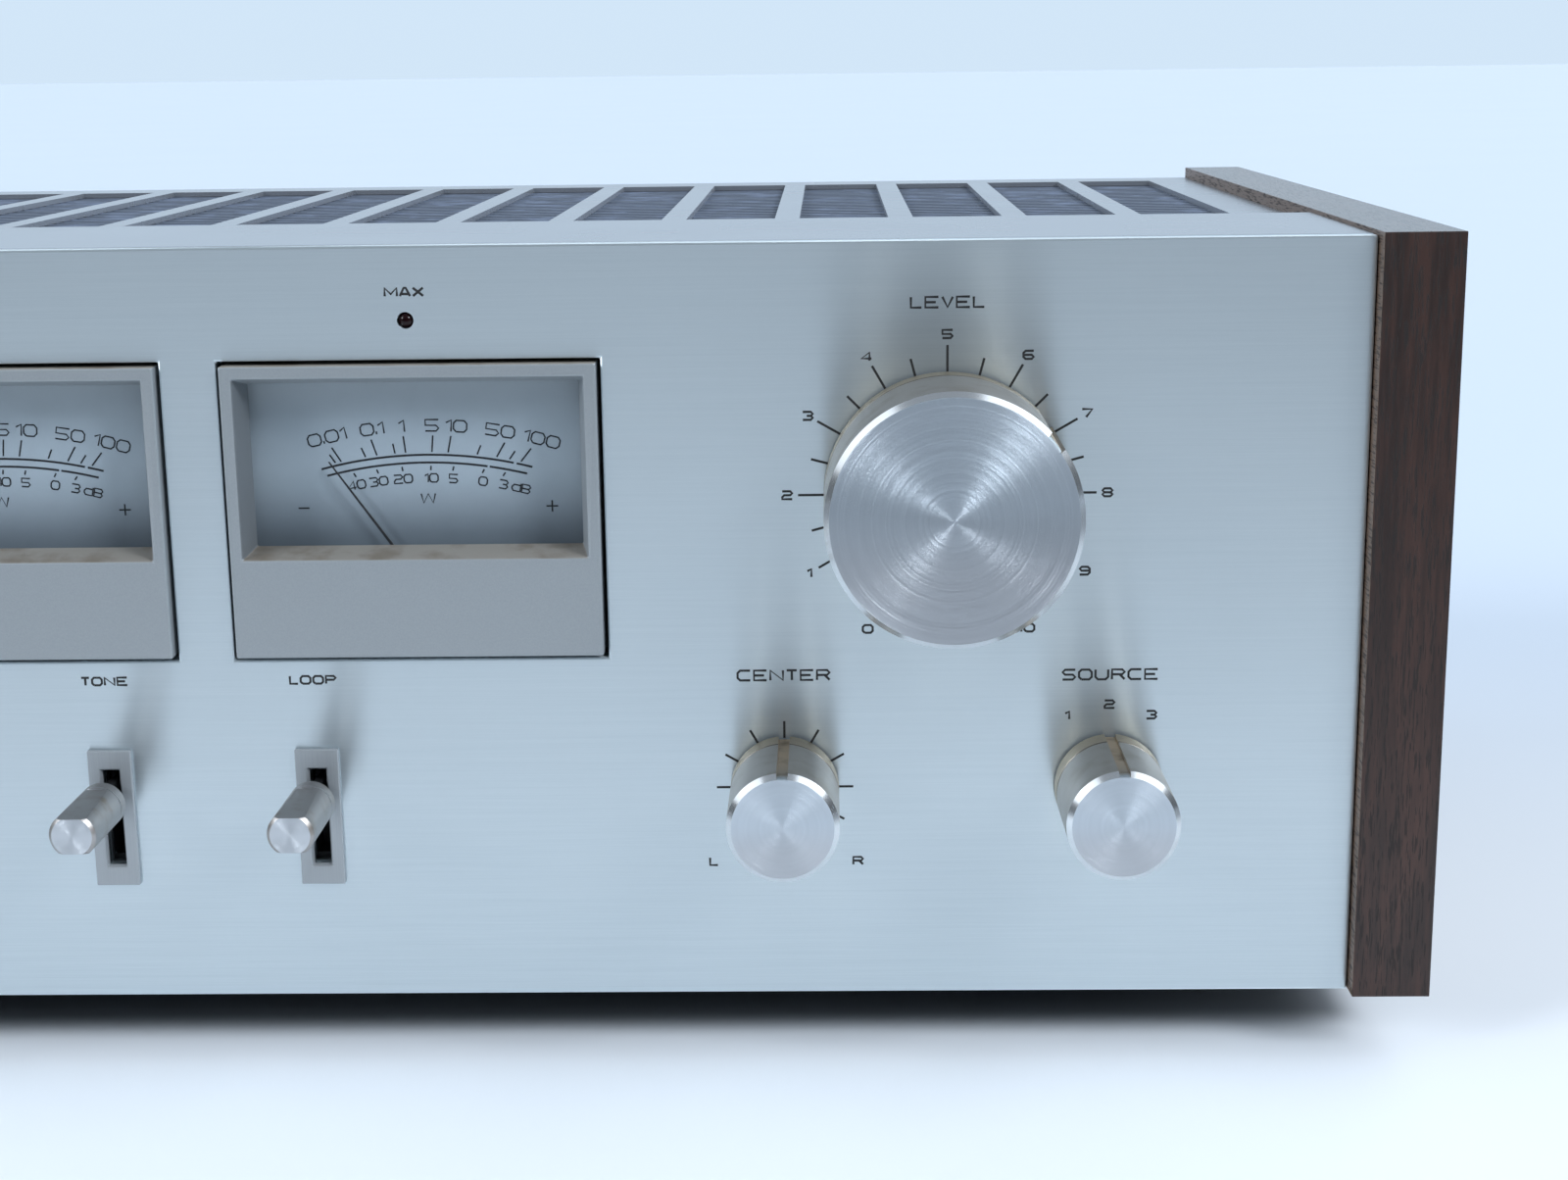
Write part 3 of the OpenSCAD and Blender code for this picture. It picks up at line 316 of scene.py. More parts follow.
def add_on(piece, material, body):
    """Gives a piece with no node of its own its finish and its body."""
    piece.data.materials.append(material)
    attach(piece, body)


def softened(node, material, width, segments=2):
    bm = solid_copy(node)
    soften(bm, width, segments)
    fit(make_piece(node + "_piece", bm), material, node)


def zinc_plate():
    f = Finish("zinc_plate")
    place = f.place()
    spangle = f.node("ShaderNodeTexVoronoi", None, {"Vector": place, "Scale": 260.0}, "Color")
    shade = f.part(spangle, "X")
    dust = f.noise(place, 45.0, 4.0)
    colour = f.mix(shade, tint("8d9296"), tint("a4a9ac"))
    return f.coat({
        "Base Color": f.mix(f.step(dust, 0.5, 0.8), colour, tint("84837d")),
        "Metallic": 0.85,
        "Roughness": 0.34 + 0.16 * shade + 0.12 * dust,
    })


zinc = zinc_plate()
sheet_edge = 0.0002
for node in ("sub_panel", "side_plate_left", "side_plate_right"):
    softened(node, zinc, sheet_edge)


# The rear panel and the bottom plate: the same sheet, sprayed with a fine textured dark grey enamel.
# Screws from below hold the lips of the other sheets to the bottom plate.
def textured_enamel():
    f = Finish("textured_enamel")
    grain = f.noise(f.place(), 2600.0, 2.0)
    wear = f.noise(f.place(), 60.0, 4.0)
    return f.coat({
        "Base Color": f.mix(grain, tint("3a3d40"), tint("4a4d50")),
        "Roughness": 0.5 + 0.2 * wear,
        "Normal": f.bump(grain, 0.00008, 0.5),
    })


enamel = textured_enamel()
softened("rear_panel", enamel, sheet_edge)
softened("bottom_plate", enamel, sheet_edge)

# The front panel: a 4 mm aluminium plate, brushed from side to side, anodised clear and milled for
# the meters, the lever slots and the control bushes. Screws from behind hold it to the sub-panel.
panel_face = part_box("front_panel")[0].y
panel_edge = 0.00035


def brushed_aluminium():
    f = Finish("brushed_aluminium")
    hair = f.streaks((60.0, 60.0, 6500.0), 3.0)
    streak = f.streaks((22.0, 22.0, 1900.0), 2.0)
    cloud = f.noise(f.place(), 14.0, 3.0)
    lean = 0.12 * (hair - 0.5) + 0.04 * (streak - 0.5)
    normal = f.vector("ADD", f.facing(), f.scaled((0.0, 0.0, 1.0), lean))
    shade = 0.55 * hair + 0.45 * streak
    return f.coat({
        "Base Color": f.mix(shade, tint("d3e0e6"), tint("e6f1f6")),
        "Metallic": 0.92,
        "Roughness": 0.31 + 0.05 * cloud,
        "Anisotropic": 1.0,
        "Anisotropic Rotation": 0.25,
        "Normal": f.unit(normal),
    })


panel_mesh = solid_copy("front_panel")
soften(panel_mesh, panel_edge, shortest=0.002)
fit(make_piece("front_panel_piece", panel_mesh), brushed_aluminium(), "front_panel")

# The panel's print: black silk-screened lines, numbers and plain words in a wide square letter,
# drawn here as flat strokes that lie on the metal.
LETTERS = {
    "0": (5, "10 40 51 53 44 14 03 01 10"), "1": (2, "03 24 20"),
    "2": (5, "04 44 53 42 12 01 00 50"), "3": (5, "04 44 53 42 22|42 51 40 00"),
    "4": (5, "40 44 01 51"), "5": (5, "54 04 02 42 51 40 00"),
    "6": (5, "54 14 03 01 10 40 51 42 02"), "7": (5, "04 54 20"),
    "8": (5, "12 42 53 44 14 03 12 01 10 40 51 42"), "9": (5, "00 40 51 53 44 14 03 12 52"),
    "A": (5, "00 24 34 50|11 41"), "B": (5, "00 04 44 53 42 02|42 51 40 00 02"),
    "C": (5, "50 10 01 03 14 54"), "E": (5, "50 00 04 54|02 42"),
    "G": (5, "54 14 03 01 10 50 52 32"), "H": (5, "00 04|50 54|02 52"), "I": (0, "00 04"),
    "L": (4, "04 00 40"), "M": (6, "00 04 31 64 60"), "N": (5, "00 04 50 54"),
    "O": (5, "10 40 51 53 44 14 03 01 10"), "P": (5, "00 04 44 53 42 02"),
    "R": (5, "00 04 44 53 42 02|32 50"), "S": (5, "00 40 51 42 12 03 14 54"),
    "T": (4, "04 44|24 20"), "U": (5, "04 01 10 40 51 54"), "V": (4, "04 20 44"),
    "W": (6, "04 10 34 50 64"), "X": (5, "00 54|04 50"), "d": (5, "54 50 10 01 02 13 53"),
    ".": (0, "00 01"), "-": (4, "02 42"), "+": (4, "02 42|20 24"),
}
letter_rows = 4
letter_gap = 1.5


def lettering(words, spot, height, tilt=0.0, squeeze=1.0, gap=letter_gap):
    """The strokes of a row of letters centred on a spot of the panel, as lists of places on it."""
    unit = height / letter_rows
    turn = Matrix.Rotation(tilt, 2)
    start = -(sum(LETTERS[c][0] for c in words) + gap * (len(words) - 1)) / 2
    strokes = []
    for c in words:
        width, paths = LETTERS[c]
        for path in paths.split("|"):
            corners = [(int(pair[0]), int(pair[1])) for pair in path.split()]
            points = [Vector(((start + x) * squeeze, z - letter_rows / 2)) for x, z in corners]
            strokes.append([spot + turn @ (point * unit) for point in points])
        start += width + gap
    return strokes


def print_piece(name, strokes, face, width):
    """A printed piece: strokes of one width, pressed nearly flat just in front of a face."""
    ink_rise = 0.00003
    curve = bpy.data.curves.new(name, "CURVE")
    curve.dimensions = "3D"
    curve.bevel_depth = width / 2
    curve.bevel_resolution = 0
    curve.use_fill_caps = True
    for stroke in strokes:
        spline = curve.splines.new("POLY")
        spline.points.add(len(stroke) - 1)
        for point, (x, z) in zip(spline.points, stroke):
            point.co = (x, 0.0, z, 1.0)
    drawn = bpy.data.objects.new(name + "_strokes", curve)
    bpy.context.collection.objects.link(drawn)
    bm = bmesh.new()
    bm.from_mesh(bpy.data.meshes.new_from_object(drawn))
    bpy.data.objects.remove(drawn)
    bmesh.ops.remove_doubles(bm, verts=bm.verts, dist=weld)
    bmesh.ops.scale(bm, vec=(1.0, 2 * ink_rise / width, 1.0), verts=bm.verts)
    bmesh.ops.translate(bm, vec=(0.0, face - ink_rise, 0.0), verts=bm.verts)
    return make_piece(name, bm)


def on_arc(middle, angle, radius):
    """A place at a radius round a middle, its angle measured clockwise from the top."""
    return middle + Vector((math.sin(angle), math.cos(angle))) * radius


def ray(middle, angle, inner, outer):
    """One straight stroke that points away from a middle."""
    return [on_arc(middle, angle, inner), on_arc(middle, angle, outer)]


def spot_of(node):
    """The place of a control on the panel: the middle of its node in width and height."""
    low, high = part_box(node)
    return Vector(((low.x + high.x) / 2, (low.z + high.z) / 2))


def ink(name, code):
    f = Finish(name)
    patch = f.noise(f.place(), 3500.0, 2.0)
    return f.coat({
        "Base Color": f.mix(0.3 * patch, tint(code), tint("33363a")),
        "Roughness": 0.5 + 0.2 * patch,
    })


panel_ink = ink("panel_ink", "0c0e10")
panel_stroke = 0.00042
small_cap = 0.00140
heading_cap = 0.0018
panel_strokes = []

volume_marks = 21
volume_step = 15
volume_first = -150
volume_tick = 0.0215
whole_tick_end = 0.0261
half_tick_end = 0.0246
volume_numbers = 0.0280
volume_heading = Vector((0.0, 0.0335))
volume_spot = spot_of("volume_knob")
for mark in range(volume_marks):
    angle = math.radians(mark * volume_step + volume_first)
    whole = mark % 2 == 0
    tick_end = whole_tick_end if whole else half_tick_end
    panel_strokes.append(ray(volume_spot, angle, volume_tick, tick_end))
    if whole:
        number_spot = on_arc(volume_spot, angle, volume_numbers)
        panel_strokes += lettering(str(mark // 2), number_spot, small_cap)
panel_strokes += lettering("LEVEL", volume_spot + volume_heading, heading_cap)

tone_marks = 4
tone_step = 30
tone_tick = 0.0092
tone_tick_end = 0.0123
tone_heading = Vector((0.0, 0.0208))
low_sign = Vector((-0.0131, -0.0141))
high_sign = Vector((0.0131, -0.0141))
for node, heading, low_end, high_end in (
    ("balance_knob", "CENTER", "L", "R"),
    ("bass_knob", "LOW", "-", "+"),
    ("treble_knob", "HIGH", "-", "+"),
):
    spot = spot_of(node)
    for mark in range(-tone_marks, tone_marks + 1):
        panel_strokes.append(ray(spot, math.radians(tone_step * mark), tone_tick, tone_tick_end))
    panel_strokes += lettering(heading, spot + tone_heading, heading_cap)
    panel_strokes += lettering(low_end, spot + low_sign, small_cap)
    panel_strokes += lettering(high_end, spot + high_sign, small_cap)

switch_step = 30
switch_heading = Vector((0.0, 0.0205))
switch_numbers = 0.0150
for node, heading, choices in (("function_knob", "SOURCE", 3), ("speaker_knob", "OUTPUT", 4)):
    spot = spot_of(node)
    panel_strokes += lettering(heading, spot + switch_heading, heading_cap)
    for choice in range(choices):
        angle = math.radians(switch_step * (choice - 1))
        panel_strokes += lettering(str(choice + 1), on_arc(spot, angle, switch_numbers), small_cap)

lever_drop = Vector((0.0, 0.0044))
lever_heading = Vector((0.0, 0.0255))
for node, heading in (("power_lever", "POWER"), ("loudness_lever", "TONE"), ("tape_lever", "LOOP")):
    slot_spot = spot_of(node) - lever_drop
    panel_strokes += lettering(heading, slot_spot + lever_heading, small_cap)

phones_heading = Vector((0.0, 0.0205))
panel_strokes += lettering("PHONES", spot_of("phones_jack") + phones_heading, small_cap)

lamp_heading = Vector((0.0, 0.0049))
for side in ("left", "right"):
    lamp_spot = Vector((spot_of("meter_bezel_" + side).x, spot_of("peak_lamps").y))
    panel_strokes += lettering("MAX", lamp_spot + lamp_heading, small_cap)
panel_print = print_piece("panel_print", panel_strokes, panel_face, panel_stroke)
add_on(panel_print, panel_ink, "chassis")


# The top cover: one silver lacquered sheet with a plain front band, a step down, and a field of long
# vent slots. It rests on the sub-panel and the side plates, and is screwed to the rear panel through
# its bent lip.
def silver_lacquer():
    f = Finish("silver_lacquer")
    place = f.place()
    flake = f.noise(place, 5200.0, 1.0)
    cloud = f.noise(place, 20.0, 3.0)
    return f.coat({
        "Base Color": f.mix(flake, tint("9ea5ad"), tint("b5bac1")),
        "Metallic": 0.75,
        "Roughness": 0.22 + 0.10 * cloud,
        "Normal": f.bump(flake, 0.00002, 0.3),
    })


softened("top_cover", silver_lacquer(), width=0.0003)


# The vent screen: a thin sheet with rows of slots across the cover's own, painted dark. It is bonded
# to the cover's underside, so that nothing falls through the vents.
def screen_paint():
    f = Finish("screen_paint")
    dust = f.noise(f.place(), 120.0, 4.0)
    return f.coat({
        "Base Color": f.mix(f.step(dust, 0.45, 0.75), tint("586374"), tint("74829a")),
        "Metallic": 0.3,
        "Roughness": 0.42 + 0.2 * dust,
    })


softened("vent_screen", screen_paint(), width=0.0001, segments=1)


# The side cheeks: boards veneered with dark walnut, the grain upright on the front edge and running
# front to back elsewhere, under a thin satin varnish. Wood screws from inside hold them.
def walnut():
    f = Finish("walnut")
    place = f.place()
    front = f.step(f.size(f.part(f.facing(), "Y")), 0.4, 0.7)
    inward = f.step(f.part(f.facing(), "X") * f.part(place, "X"), -0.05, -0.10)
    lengthways = f.vector("MULTIPLY", place, (1100.0, 80.0, 1100.0))
    upright = f.vector("MULTIPLY", place, (1100.0, 1100.0, 80.0))
    grain_place = f.mix(front, lengthways, upright)
    wave = f.noise(f.scaled(grain_place, 0.12), 1.0, 3.0)
    grain = f.noise(grain_place, 1.0, 4.0)
    pores = f.noise(f.scaled(grain_place, 3.1), 1.0, 2.0)
    pore = f.step(pores, 0.53, 0.62)
    shade = f.step(0.6 * grain + 0.5 * wave, 0.35, 0.75)
    veneer = f.mix(shade, tint("20130f"), tint("3c261f"))
    wood = f.mix(inward, veneer, tint("5f4d40"))
    return f.coat({
        "Base Color": f.mix(0.8 * pore, wood, tint("100907")),
        "Roughness": 0.45 + 0.2 * pore,
        "Coat Weight": 0.9 * f.step(f.part(f.facing(), "Z"), 0.5, 0.9),
        "Coat Roughness": 0.25,
        "Normal": f.bump(1.0 - pore, 0.00006, 0.5),
    })


walnut_finish = walnut()
for node in ("wood_side_left", "wood_side_right"):
    softened(node, walnut_finish, width=0.0007, segments=3)


# The feet: discs of moulded black rubber that narrow towards the floor, each held to the bottom plate
# by a screw in its recess. They stand back from the panel's lower edge.
def foot_rubber():
    f = Finish("foot_rubber")
    place = f.place()
    grain = f.noise(place, 1800.0, 2.0)
    dust = f.noise(place, 90.0, 3.0)
    return f.coat({
        "Base Color": f.mix(f.step(dust, 0.5, 0.8), tint("17181a"), tint("35363a")),
        "Roughness": 0.7 + 0.15 * dust,
        "Normal": f.bump(grain, 0.0001, 0.4),
    })


softened("feet", foot_rubber(), width=0.0008, segments=3)


# The screws: zinc plated steel with low round heads. Machine screws hold the sheets, the boards, the
# feet and the terminal strip, and wood screws run from the side plates into the cheeks.
def grained(name, dark, pale, metal, scale, detail, rough, spread):
    """A plain finish whose tone and roughness follow one fine grain."""
    f = Finish(name)
    grain = f.noise(f.place(), scale, detail)
    return f.coat({
        "Base Color": f.mix(grain, tint(dark), tint(pale)),
        "Metallic": metal,
        "Roughness": rough + spread * grain,
    })


screw_finish = grained(
    "screw_plate", "8f9295", "b9bcbe", metal=1.0, scale=1500.0, detail=3.0, rough=0.28, spread=0.2,
)
softened("case_screws", screw_finish, width=0.0004, segments=3)

# The meters: each has a grey moulded bezel with a drafted window, a clear pane, a printed card dial,
# a black needle on a pivot pin, and a black case that holds the moving coil behind the panel.
bezel_edge = 0.0003


def bezel_plastic(name, middle):
    f = Finish(name)
    place = f.place()
    grain = f.noise(place, 4200.0, 2.0)
    stain = f.noise(place, 160.0, 5.0)
    upward = f.step(f.part(f.facing(), "Z"), 0.5, 0.9)
    grime = upward * f.step(stain, 0.42, 0.7)
    # The window's inner left wall, facing right in the bezel's left half, is painted darker: painted shade.
    painted_shade_wall = f.step(f.part(f.facing(), "X"), 0.5, 0.9)
    left_half = 1.0 - f.step(f.part(place, "X"), middle - 0.01, middle)
    moulded = f.mix(grain, tint("8a9196"), tint("979ea2"))
    colour = f.mix(0.5 * painted_shade_wall * left_half, moulded, tint("4a5056"))
    sill = f.mix(0.7 * upward, colour, tint("978f82"))
    return f.coat({
        "Base Color": f.mix(0.6 * grime, sill, tint("6a5f50")),
        "Metallic": 0.35,
        "Roughness": 0.42 + 0.12 * stain,
        "Normal": f.bump(grain, 0.00003, 0.35),
    })


def clear_pane():
    f = Finish("clear_pane")
    haze = f.noise(f.place(), 240.0, 3.0)
    return f.coat({
        "Base Color": tint("30363c"),
        "Roughness": 0.04 + 0.06 * haze,
        "Alpha": 0.10 + 0.04 * haze,
    })


def dial_card():
    f = Finish("dial_card")
    place = f.place()
    fibre = f.noise(place, 5000.0, 2.0)
    low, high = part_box("meter_window_left")
    # Painted shade darkens the card towards the bottom of the window, and painted light brightens it
    # towards the top.
    height = (f.part(place, "Z") - low.z) / (high.z - low.z)
    middle = f.mix(f.step(height, 0.0, 0.5), tint("6d7c88"), tint("bacbd7"))
    card = f.mix(f.step(height, 0.65, 1.0), middle, tint("e2f0f8"))
    return f.coat({
        "Base Color": f.mix(0.2 * fibre, card, tint("c4d2dc")),
        "Roughness": 0.62,
        "Normal": f.bump(fibre, 0.00002, 0.2),
    })


def black_plastic():
    f = Finish("black_plastic")
    grain = f.noise(f.place(), 2600.0, 2.0)
    return f.coat({
        "Base Color": f.mix(grain, tint("141516"), tint("1f2022")),
        "Roughness": 0.45 + 0.15 * grain,
        "Normal": f.bump(grain, 0.00004, 0.4),
    })


pane_finish = clear_pane()
dial_finish = dial_card()
plastic_finish = black_plastic()
needle_finish = grained(
    "needle_lacquer", "121315", "212327", metal=0.0, scale=4000.0, detail=2.0, rough=0.4, spread=0.15,
)
magnet_finish = grained(
    "magnet_steel", "5f5c57", "7c7871", metal=0.9, scale=900.0, detail=3.0, rough=0.4, spread=0.2,
)
dial_ink = ink("dial_ink", "14181c")
thin_stroke = 0.00029
thick_stroke = 0.00038
pivot_drop = 0.00675
arc_drop = 0.0512
arc_shift = 0.0013
arc_points = 25
upper_arc = 0.0750
lower_arc = 0.0736
upper_ring = 0.0803
lower_ring = 0.0708
upper_cap = 0.00205
lower_cap = 0.0015
upper_squeeze = 0.92
lower_squeeze = 0.8
scale_gap = 0.9
tick_gap = 0.0005
lower_tick_gap = 0.0006
long_tick = 0.0030
short_tick = 0.0018
lower_tick = 0.0008
# Each thick arc: its radius and the angles in degrees at which it begins and ends.
ARCS = (
    (upper_arc, -14.7, 11.9), (upper_arc, 12.3, 14.5), (lower_arc, -14.2, 8.4), (lower_arc, 8.7, 14.0),
)
# Each number of the upper scale: its tick's angle about the needle's pivot, its own about the arc's middle.
UPPER_SCALE = (
    ("0.01", -31.9, -12.8), ("0.1", -17.9, -6.9), ("1", -5.9, -3.1), ("5", 5.2, 0.8),
    ("10", 11.9, 3.9), ("50", 30.6, 9.5), ("100", 38.9, 14.9),
)
HALF_TICKS = (-34.0, -22.5, -10.4, 23.4, 35.1)
LOWER_SCALE = (
    ("40", -10.5), ("30", -7.2), ("20", -3.6), ("10", 0.5), ("5", 3.7), ("0", 8.0), ("3", 11.0),
    ("dB", 13.6),
)
# Each single sign: its place to the right of the needle's pivot and above it, and its height.
SIGNS = (("W", 0.0012, 0.0159, 0.0017), ("-", -0.0213, 0.0143, 0.0020), ("+", 0.0234, 0.0143, 0.0021))


def arc_stroke(middle, radius, first, last):
    """One curved stroke about a middle, between two angles in degrees."""
    sweep = [first + (last - first) * i / (arc_points - 1) for i in range(arc_points)]
    return [on_arc(middle, math.radians(angle), radius) for angle in sweep]


def scale_reach(pivot, middle, angle, radius):
    """How far from the needle's pivot a line at an angle meets an arc about another middle."""
    way = Vector((math.sin(angle), math.cos(angle)))
    offset = pivot - middle
    along = offset.dot(way)
    return -along + math.sqrt(along * along - offset.length_squared + radius * radius)


for side in ("left", "right"):
    bezel = "meter_bezel_" + side
    softened(bezel, bezel_plastic(bezel + "_plastic", spot_of(bezel).x), bezel_edge)
    softened("meter_window_" + side, pane_finish, width=0.0001)
    softened("meter_dial_" + side, dial_finish, width=0.0001)
    softened("meter_case_" + side, plastic_finish, width=0.0004)
    softened("meter_needle_" + side, needle_finish, width=0.00004, segments=1)
    dial_low, dial_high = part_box("meter_dial_" + side)
    window_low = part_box("meter_window_" + side)[0]
    pivot = Vector(((dial_low.x + dial_high.x) / 2, window_low.z - pivot_drop))
    arc_middle = Vector((pivot.x + arc_shift, pivot.y - arc_drop))
    thick = [arc_stroke(arc_middle, radius, first, last) for radius, first, last in ARCS]
    thin = []
    for words, tick_degrees, number_degrees in UPPER_SCALE:
        angle = math.radians(tick_degrees)
        inner = scale_reach(pivot, arc_middle, angle, upper_arc + tick_gap)
        thin.append(ray(pivot, angle, inner, inner + long_tick))
        lean = math.radians(number_degrees)
        number_spot = on_arc(arc_middle, lean, upper_ring)
        thin += lettering(words, number_spot, upper_cap, -lean, upper_squeeze, scale_gap)
    for degrees in HALF_TICKS:
        angle = math.radians(degrees)
        inner = scale_reach(pivot, arc_middle, angle, upper_arc + tick_gap)
        thin.append(ray(pivot, angle, inner, inner + short_tick))
    for words, degrees in LOWER_SCALE:
        lean = math.radians(degrees)
        number_spot = on_arc(arc_middle, lean, lower_ring)
        thin += lettering(words, number_spot, lower_cap, -lean, lower_squeeze, scale_gap)
        if words != "dB":
            foot = on_arc(arc_middle, lean, lower_arc - lower_tick_gap) - pivot
            thin.append(ray(pivot, math.atan2(foot.x, foot.y), foot.length - lower_tick, foot.length))
    for sign, right, up, height in SIGNS:
        thin += lettering(sign, Vector((pivot.x + right, pivot.y + up)), height)
    scale_piece = print_piece("dial_scale_" + side, thin, dial_low.y, thin_stroke)
    add_on(scale_piece, dial_ink, "chassis")
    arc_piece = print_piece("dial_arcs_" + side, thick, dial_low.y, thick_stroke)
    add_on(arc_piece, dial_ink, "chassis")
softened("meter_movements", magnet_finish, width=0.0003)


# The peak lamps: small domes of dark red plastic over the meters, pushed through the panel from behind
# until their flanges rest against the sub-panel.
def lamp_red():
    f = Finish("lamp_red")
    swirl = f.noise(f.place(), 900.0, 2.0)
    return f.coat({
        "Base Color": f.mix(swirl, tint("0c0204"), tint("1e0509")),
        "Roughness": 0.08 + 0.05 * swirl,
        "Specular IOR Level": 0.2,
    })


softened("peak_lamps", lamp_red(), width=0.0001, segments=1)


# The control bodies: potentiometers in pressed steel cans and rotary switches of brown laminate, each
# bolted to the sub-panel by a nut on its bush, with a plain steel shaft that turns in it.
def shaft_steel():
    f = Finish("shaft_steel")
    turning = f.streaks((40.0, 6000.0, 40.0), 2.0)
    return f.coat({
        "Base Color": f.mix(turning, tint("9a9da0"), tint("c2c5c7")),
        "Metallic": 1.0,
        "Roughness": 0.22 + 0.15 * turning,
    })


can_finish = grained(
    "pressed_steel", "75787a", "8f9294", metal=0.9, scale=700.0, detail=3.0, rough=0.32, spread=0.2,
)
switch_finish = grained(
    "switch_laminate", "6d5a3a", "8b7750", metal=0.0, scale=1300.0, detail=3.0, rough=0.5, spread=0.15,
)
brass_finish = grained(
    "nut_brass", "a89a6c", "c8bb8c", metal=1.0, scale=900.0, detail=3.0, rough=0.25, spread=0.2,
)
shaft_finish = shaft_steel()
softened("volume_pot", can_finish, width=0.0005, segments=3)
softened("tone_pots", can_finish, width=0.0005, segments=3)
softened("rotary_switches", switch_finish, width=0.0003)
softened("control_nuts", brass_finish, width=0.0003)
CONTROLS = ("volume", "balance", "function", "bass", "treble", "speaker")
for control in CONTROLS:
    softened(control + "_shaft", shaft_finish, width=0.0002)

# The knobs: turned from solid aluminium bar, with a spun face, a bright diamond-cut chamfer, a fine
# ring above the skirt and a pointer groove milled down the side. Each is pressed on its shaft.
knob_gap = 0.0008
skirt_height = 0.0047
skirt_top = knob_gap + skirt_height
ring_cut = 0.0004
ring_top = skirt_top + ring_cut
knob_chamfer = 0.0009
pointer_depth = 0.0006
bore_radius = 0.00306
face_thickness = 0.004
edge_break = 0.00012
barrel_steps = 120
groove_steps = 3
knob_smooth = math.radians(30)
# Each kind of knob: the turn of its pointer in degrees, the pointer's width, and the face's two tones
# and roughness.
# The large knob's face tones are darker than the small knobs': a painted shade.
LARGE_KNOB = (52.0, 0.0036, ("aab3bb", "b2bbc3"), 0.32)
SMALL_KNOB = (0.0, 0.0020, ("b5bec6", "bdc6ce"), 0.46)
# Lines to the metre that the turning tool leaves, how far they lean on the side, what the face adds to
# that and what its lower half takes away.
tool_pitch = 70000.0
band_pitch = 1400.0
side_lean = 1.7
face_lean = 1.9
lower_lean = 0.9
# How far behind the face's plane the finishes of face and chamfer end, over what length they blend, and
# the depths between which the groove's finish begins.
face_depth = 0.0004
chamfer_depth = 0.0012
finish_blend = 0.0004
groove_shallow = 0.00045
groove_deep = 0.00057


def knob_outline(radius, reach):
    """Half of a knob's section, from the end of its bore round to the middle of its face."""
    bore_end = reach - face_thickness
    broken = radius - edge_break
    ring = radius - ring_cut
    return [
        (0.0, bore_end), (bore_radius, bore_end), (bore_radius, knob_gap), (broken, knob_gap),
        (radius, knob_gap + edge_break), (radius, skirt_top - edge_break), (broken, skirt_top),
        (ring, skirt_top), (ring, ring_top), (broken, ring_top), (radius, ring_top + edge_break),
        (radius, reach - knob_chamfer), (radius - knob_chamfer, reach), (0.0, reach),
    ]


def spin_outline(bm, outline, spot, first, last, steps):
    """Turns a section about an axis that points out of the panel, and returns its two end rows."""
    axis = Vector((spot.x, panel_face, spot.y))
    verts = [bm.verts.new(axis + Vector((0.0, -reach, radius))) for radius, reach in outline]
    edges = [bm.edges.new(pair) for pair in zip(verts, verts[1:])]
    bmesh.ops.rotate(bm, cent=axis, matrix=Matrix.Rotation(first, 3, "Y"), verts=verts)
    made = bmesh.ops.spin(
        bm, geom=verts + edges, cent=axis, axis=(0.0, 1.0, 0.0), angle=last - first, steps=steps,
    )
    ends = [e for e in made["geom_last"] if isinstance(e, bmesh.types.BMEdge)]
    return edges, ends


def knob_mesh(spot, radius, reach, turn, width):
    """A turned knob, closed, with its pointer groove at an angle from the top."""
    bm = bmesh.new()
    outline = knob_outline(radius, reach)
    floor_radius = radius - pointer_depth
    groove = [(min(r, floor_radius), h) for r, h in outline]
    half = math.asin(width / 2 / radius)
    wide_rows = spin_outline(bm, outline, spot, turn + half, turn + 2 * math.pi - half, barrel_steps)
    deep_rows = spin_outline(bm, groove, spot, turn - half, turn + half, groove_steps)
    for wide, deep in ((wide_rows[0], deep_rows[1]), (wide_rows[1], deep_rows[0])):
        for one, other in zip(wide, deep):
            corners = [one.verts[0], one.verts[1], other.verts[1], other.verts[0]]
            first_step = (corners[0].co - corners[3].co).length
            last_step = (corners[1].co - corners[2].co).length
            if max(first_step, last_step) > weld:
                bm.faces.new(corners)
    bmesh.ops.remove_doubles(bm, verts=bm.verts, dist=weld)
    bmesh.ops.dissolve_degenerate(bm, dist=weld, edges=bm.edges)
    bmesh.ops.recalc_face_normals(bm, faces=bm.faces)
    return bm


def turned(f, spot):
    """A turned surface: the distance from its axis, the height over the panel, the way its marks lean."""
    outward = f.vector("SUBTRACT", f.place(), (spot.x, panel_face, spot.y))
    flat = f.vector("MULTIPLY", outward, (1.0, 0.0, 1.0))
    around = f.unit(f.vector("CROSS_PRODUCT", flat, (0.0, 1.0, 0.0)))
    return f.length(flat), 0.0 - f.part(outward, "Y"), f.vector("CROSS_PRODUCT", around, f.facing())


def tool_marks(f, along, scale):
    """Fine lines that follow one number, as a turning tool leaves them."""
    inputs = {"W": along * scale, "Scale": 1.0, "Detail": 2.0}
    return f.node("ShaderNodeTexNoise", {"noise_dimensions": "1D"}, inputs)


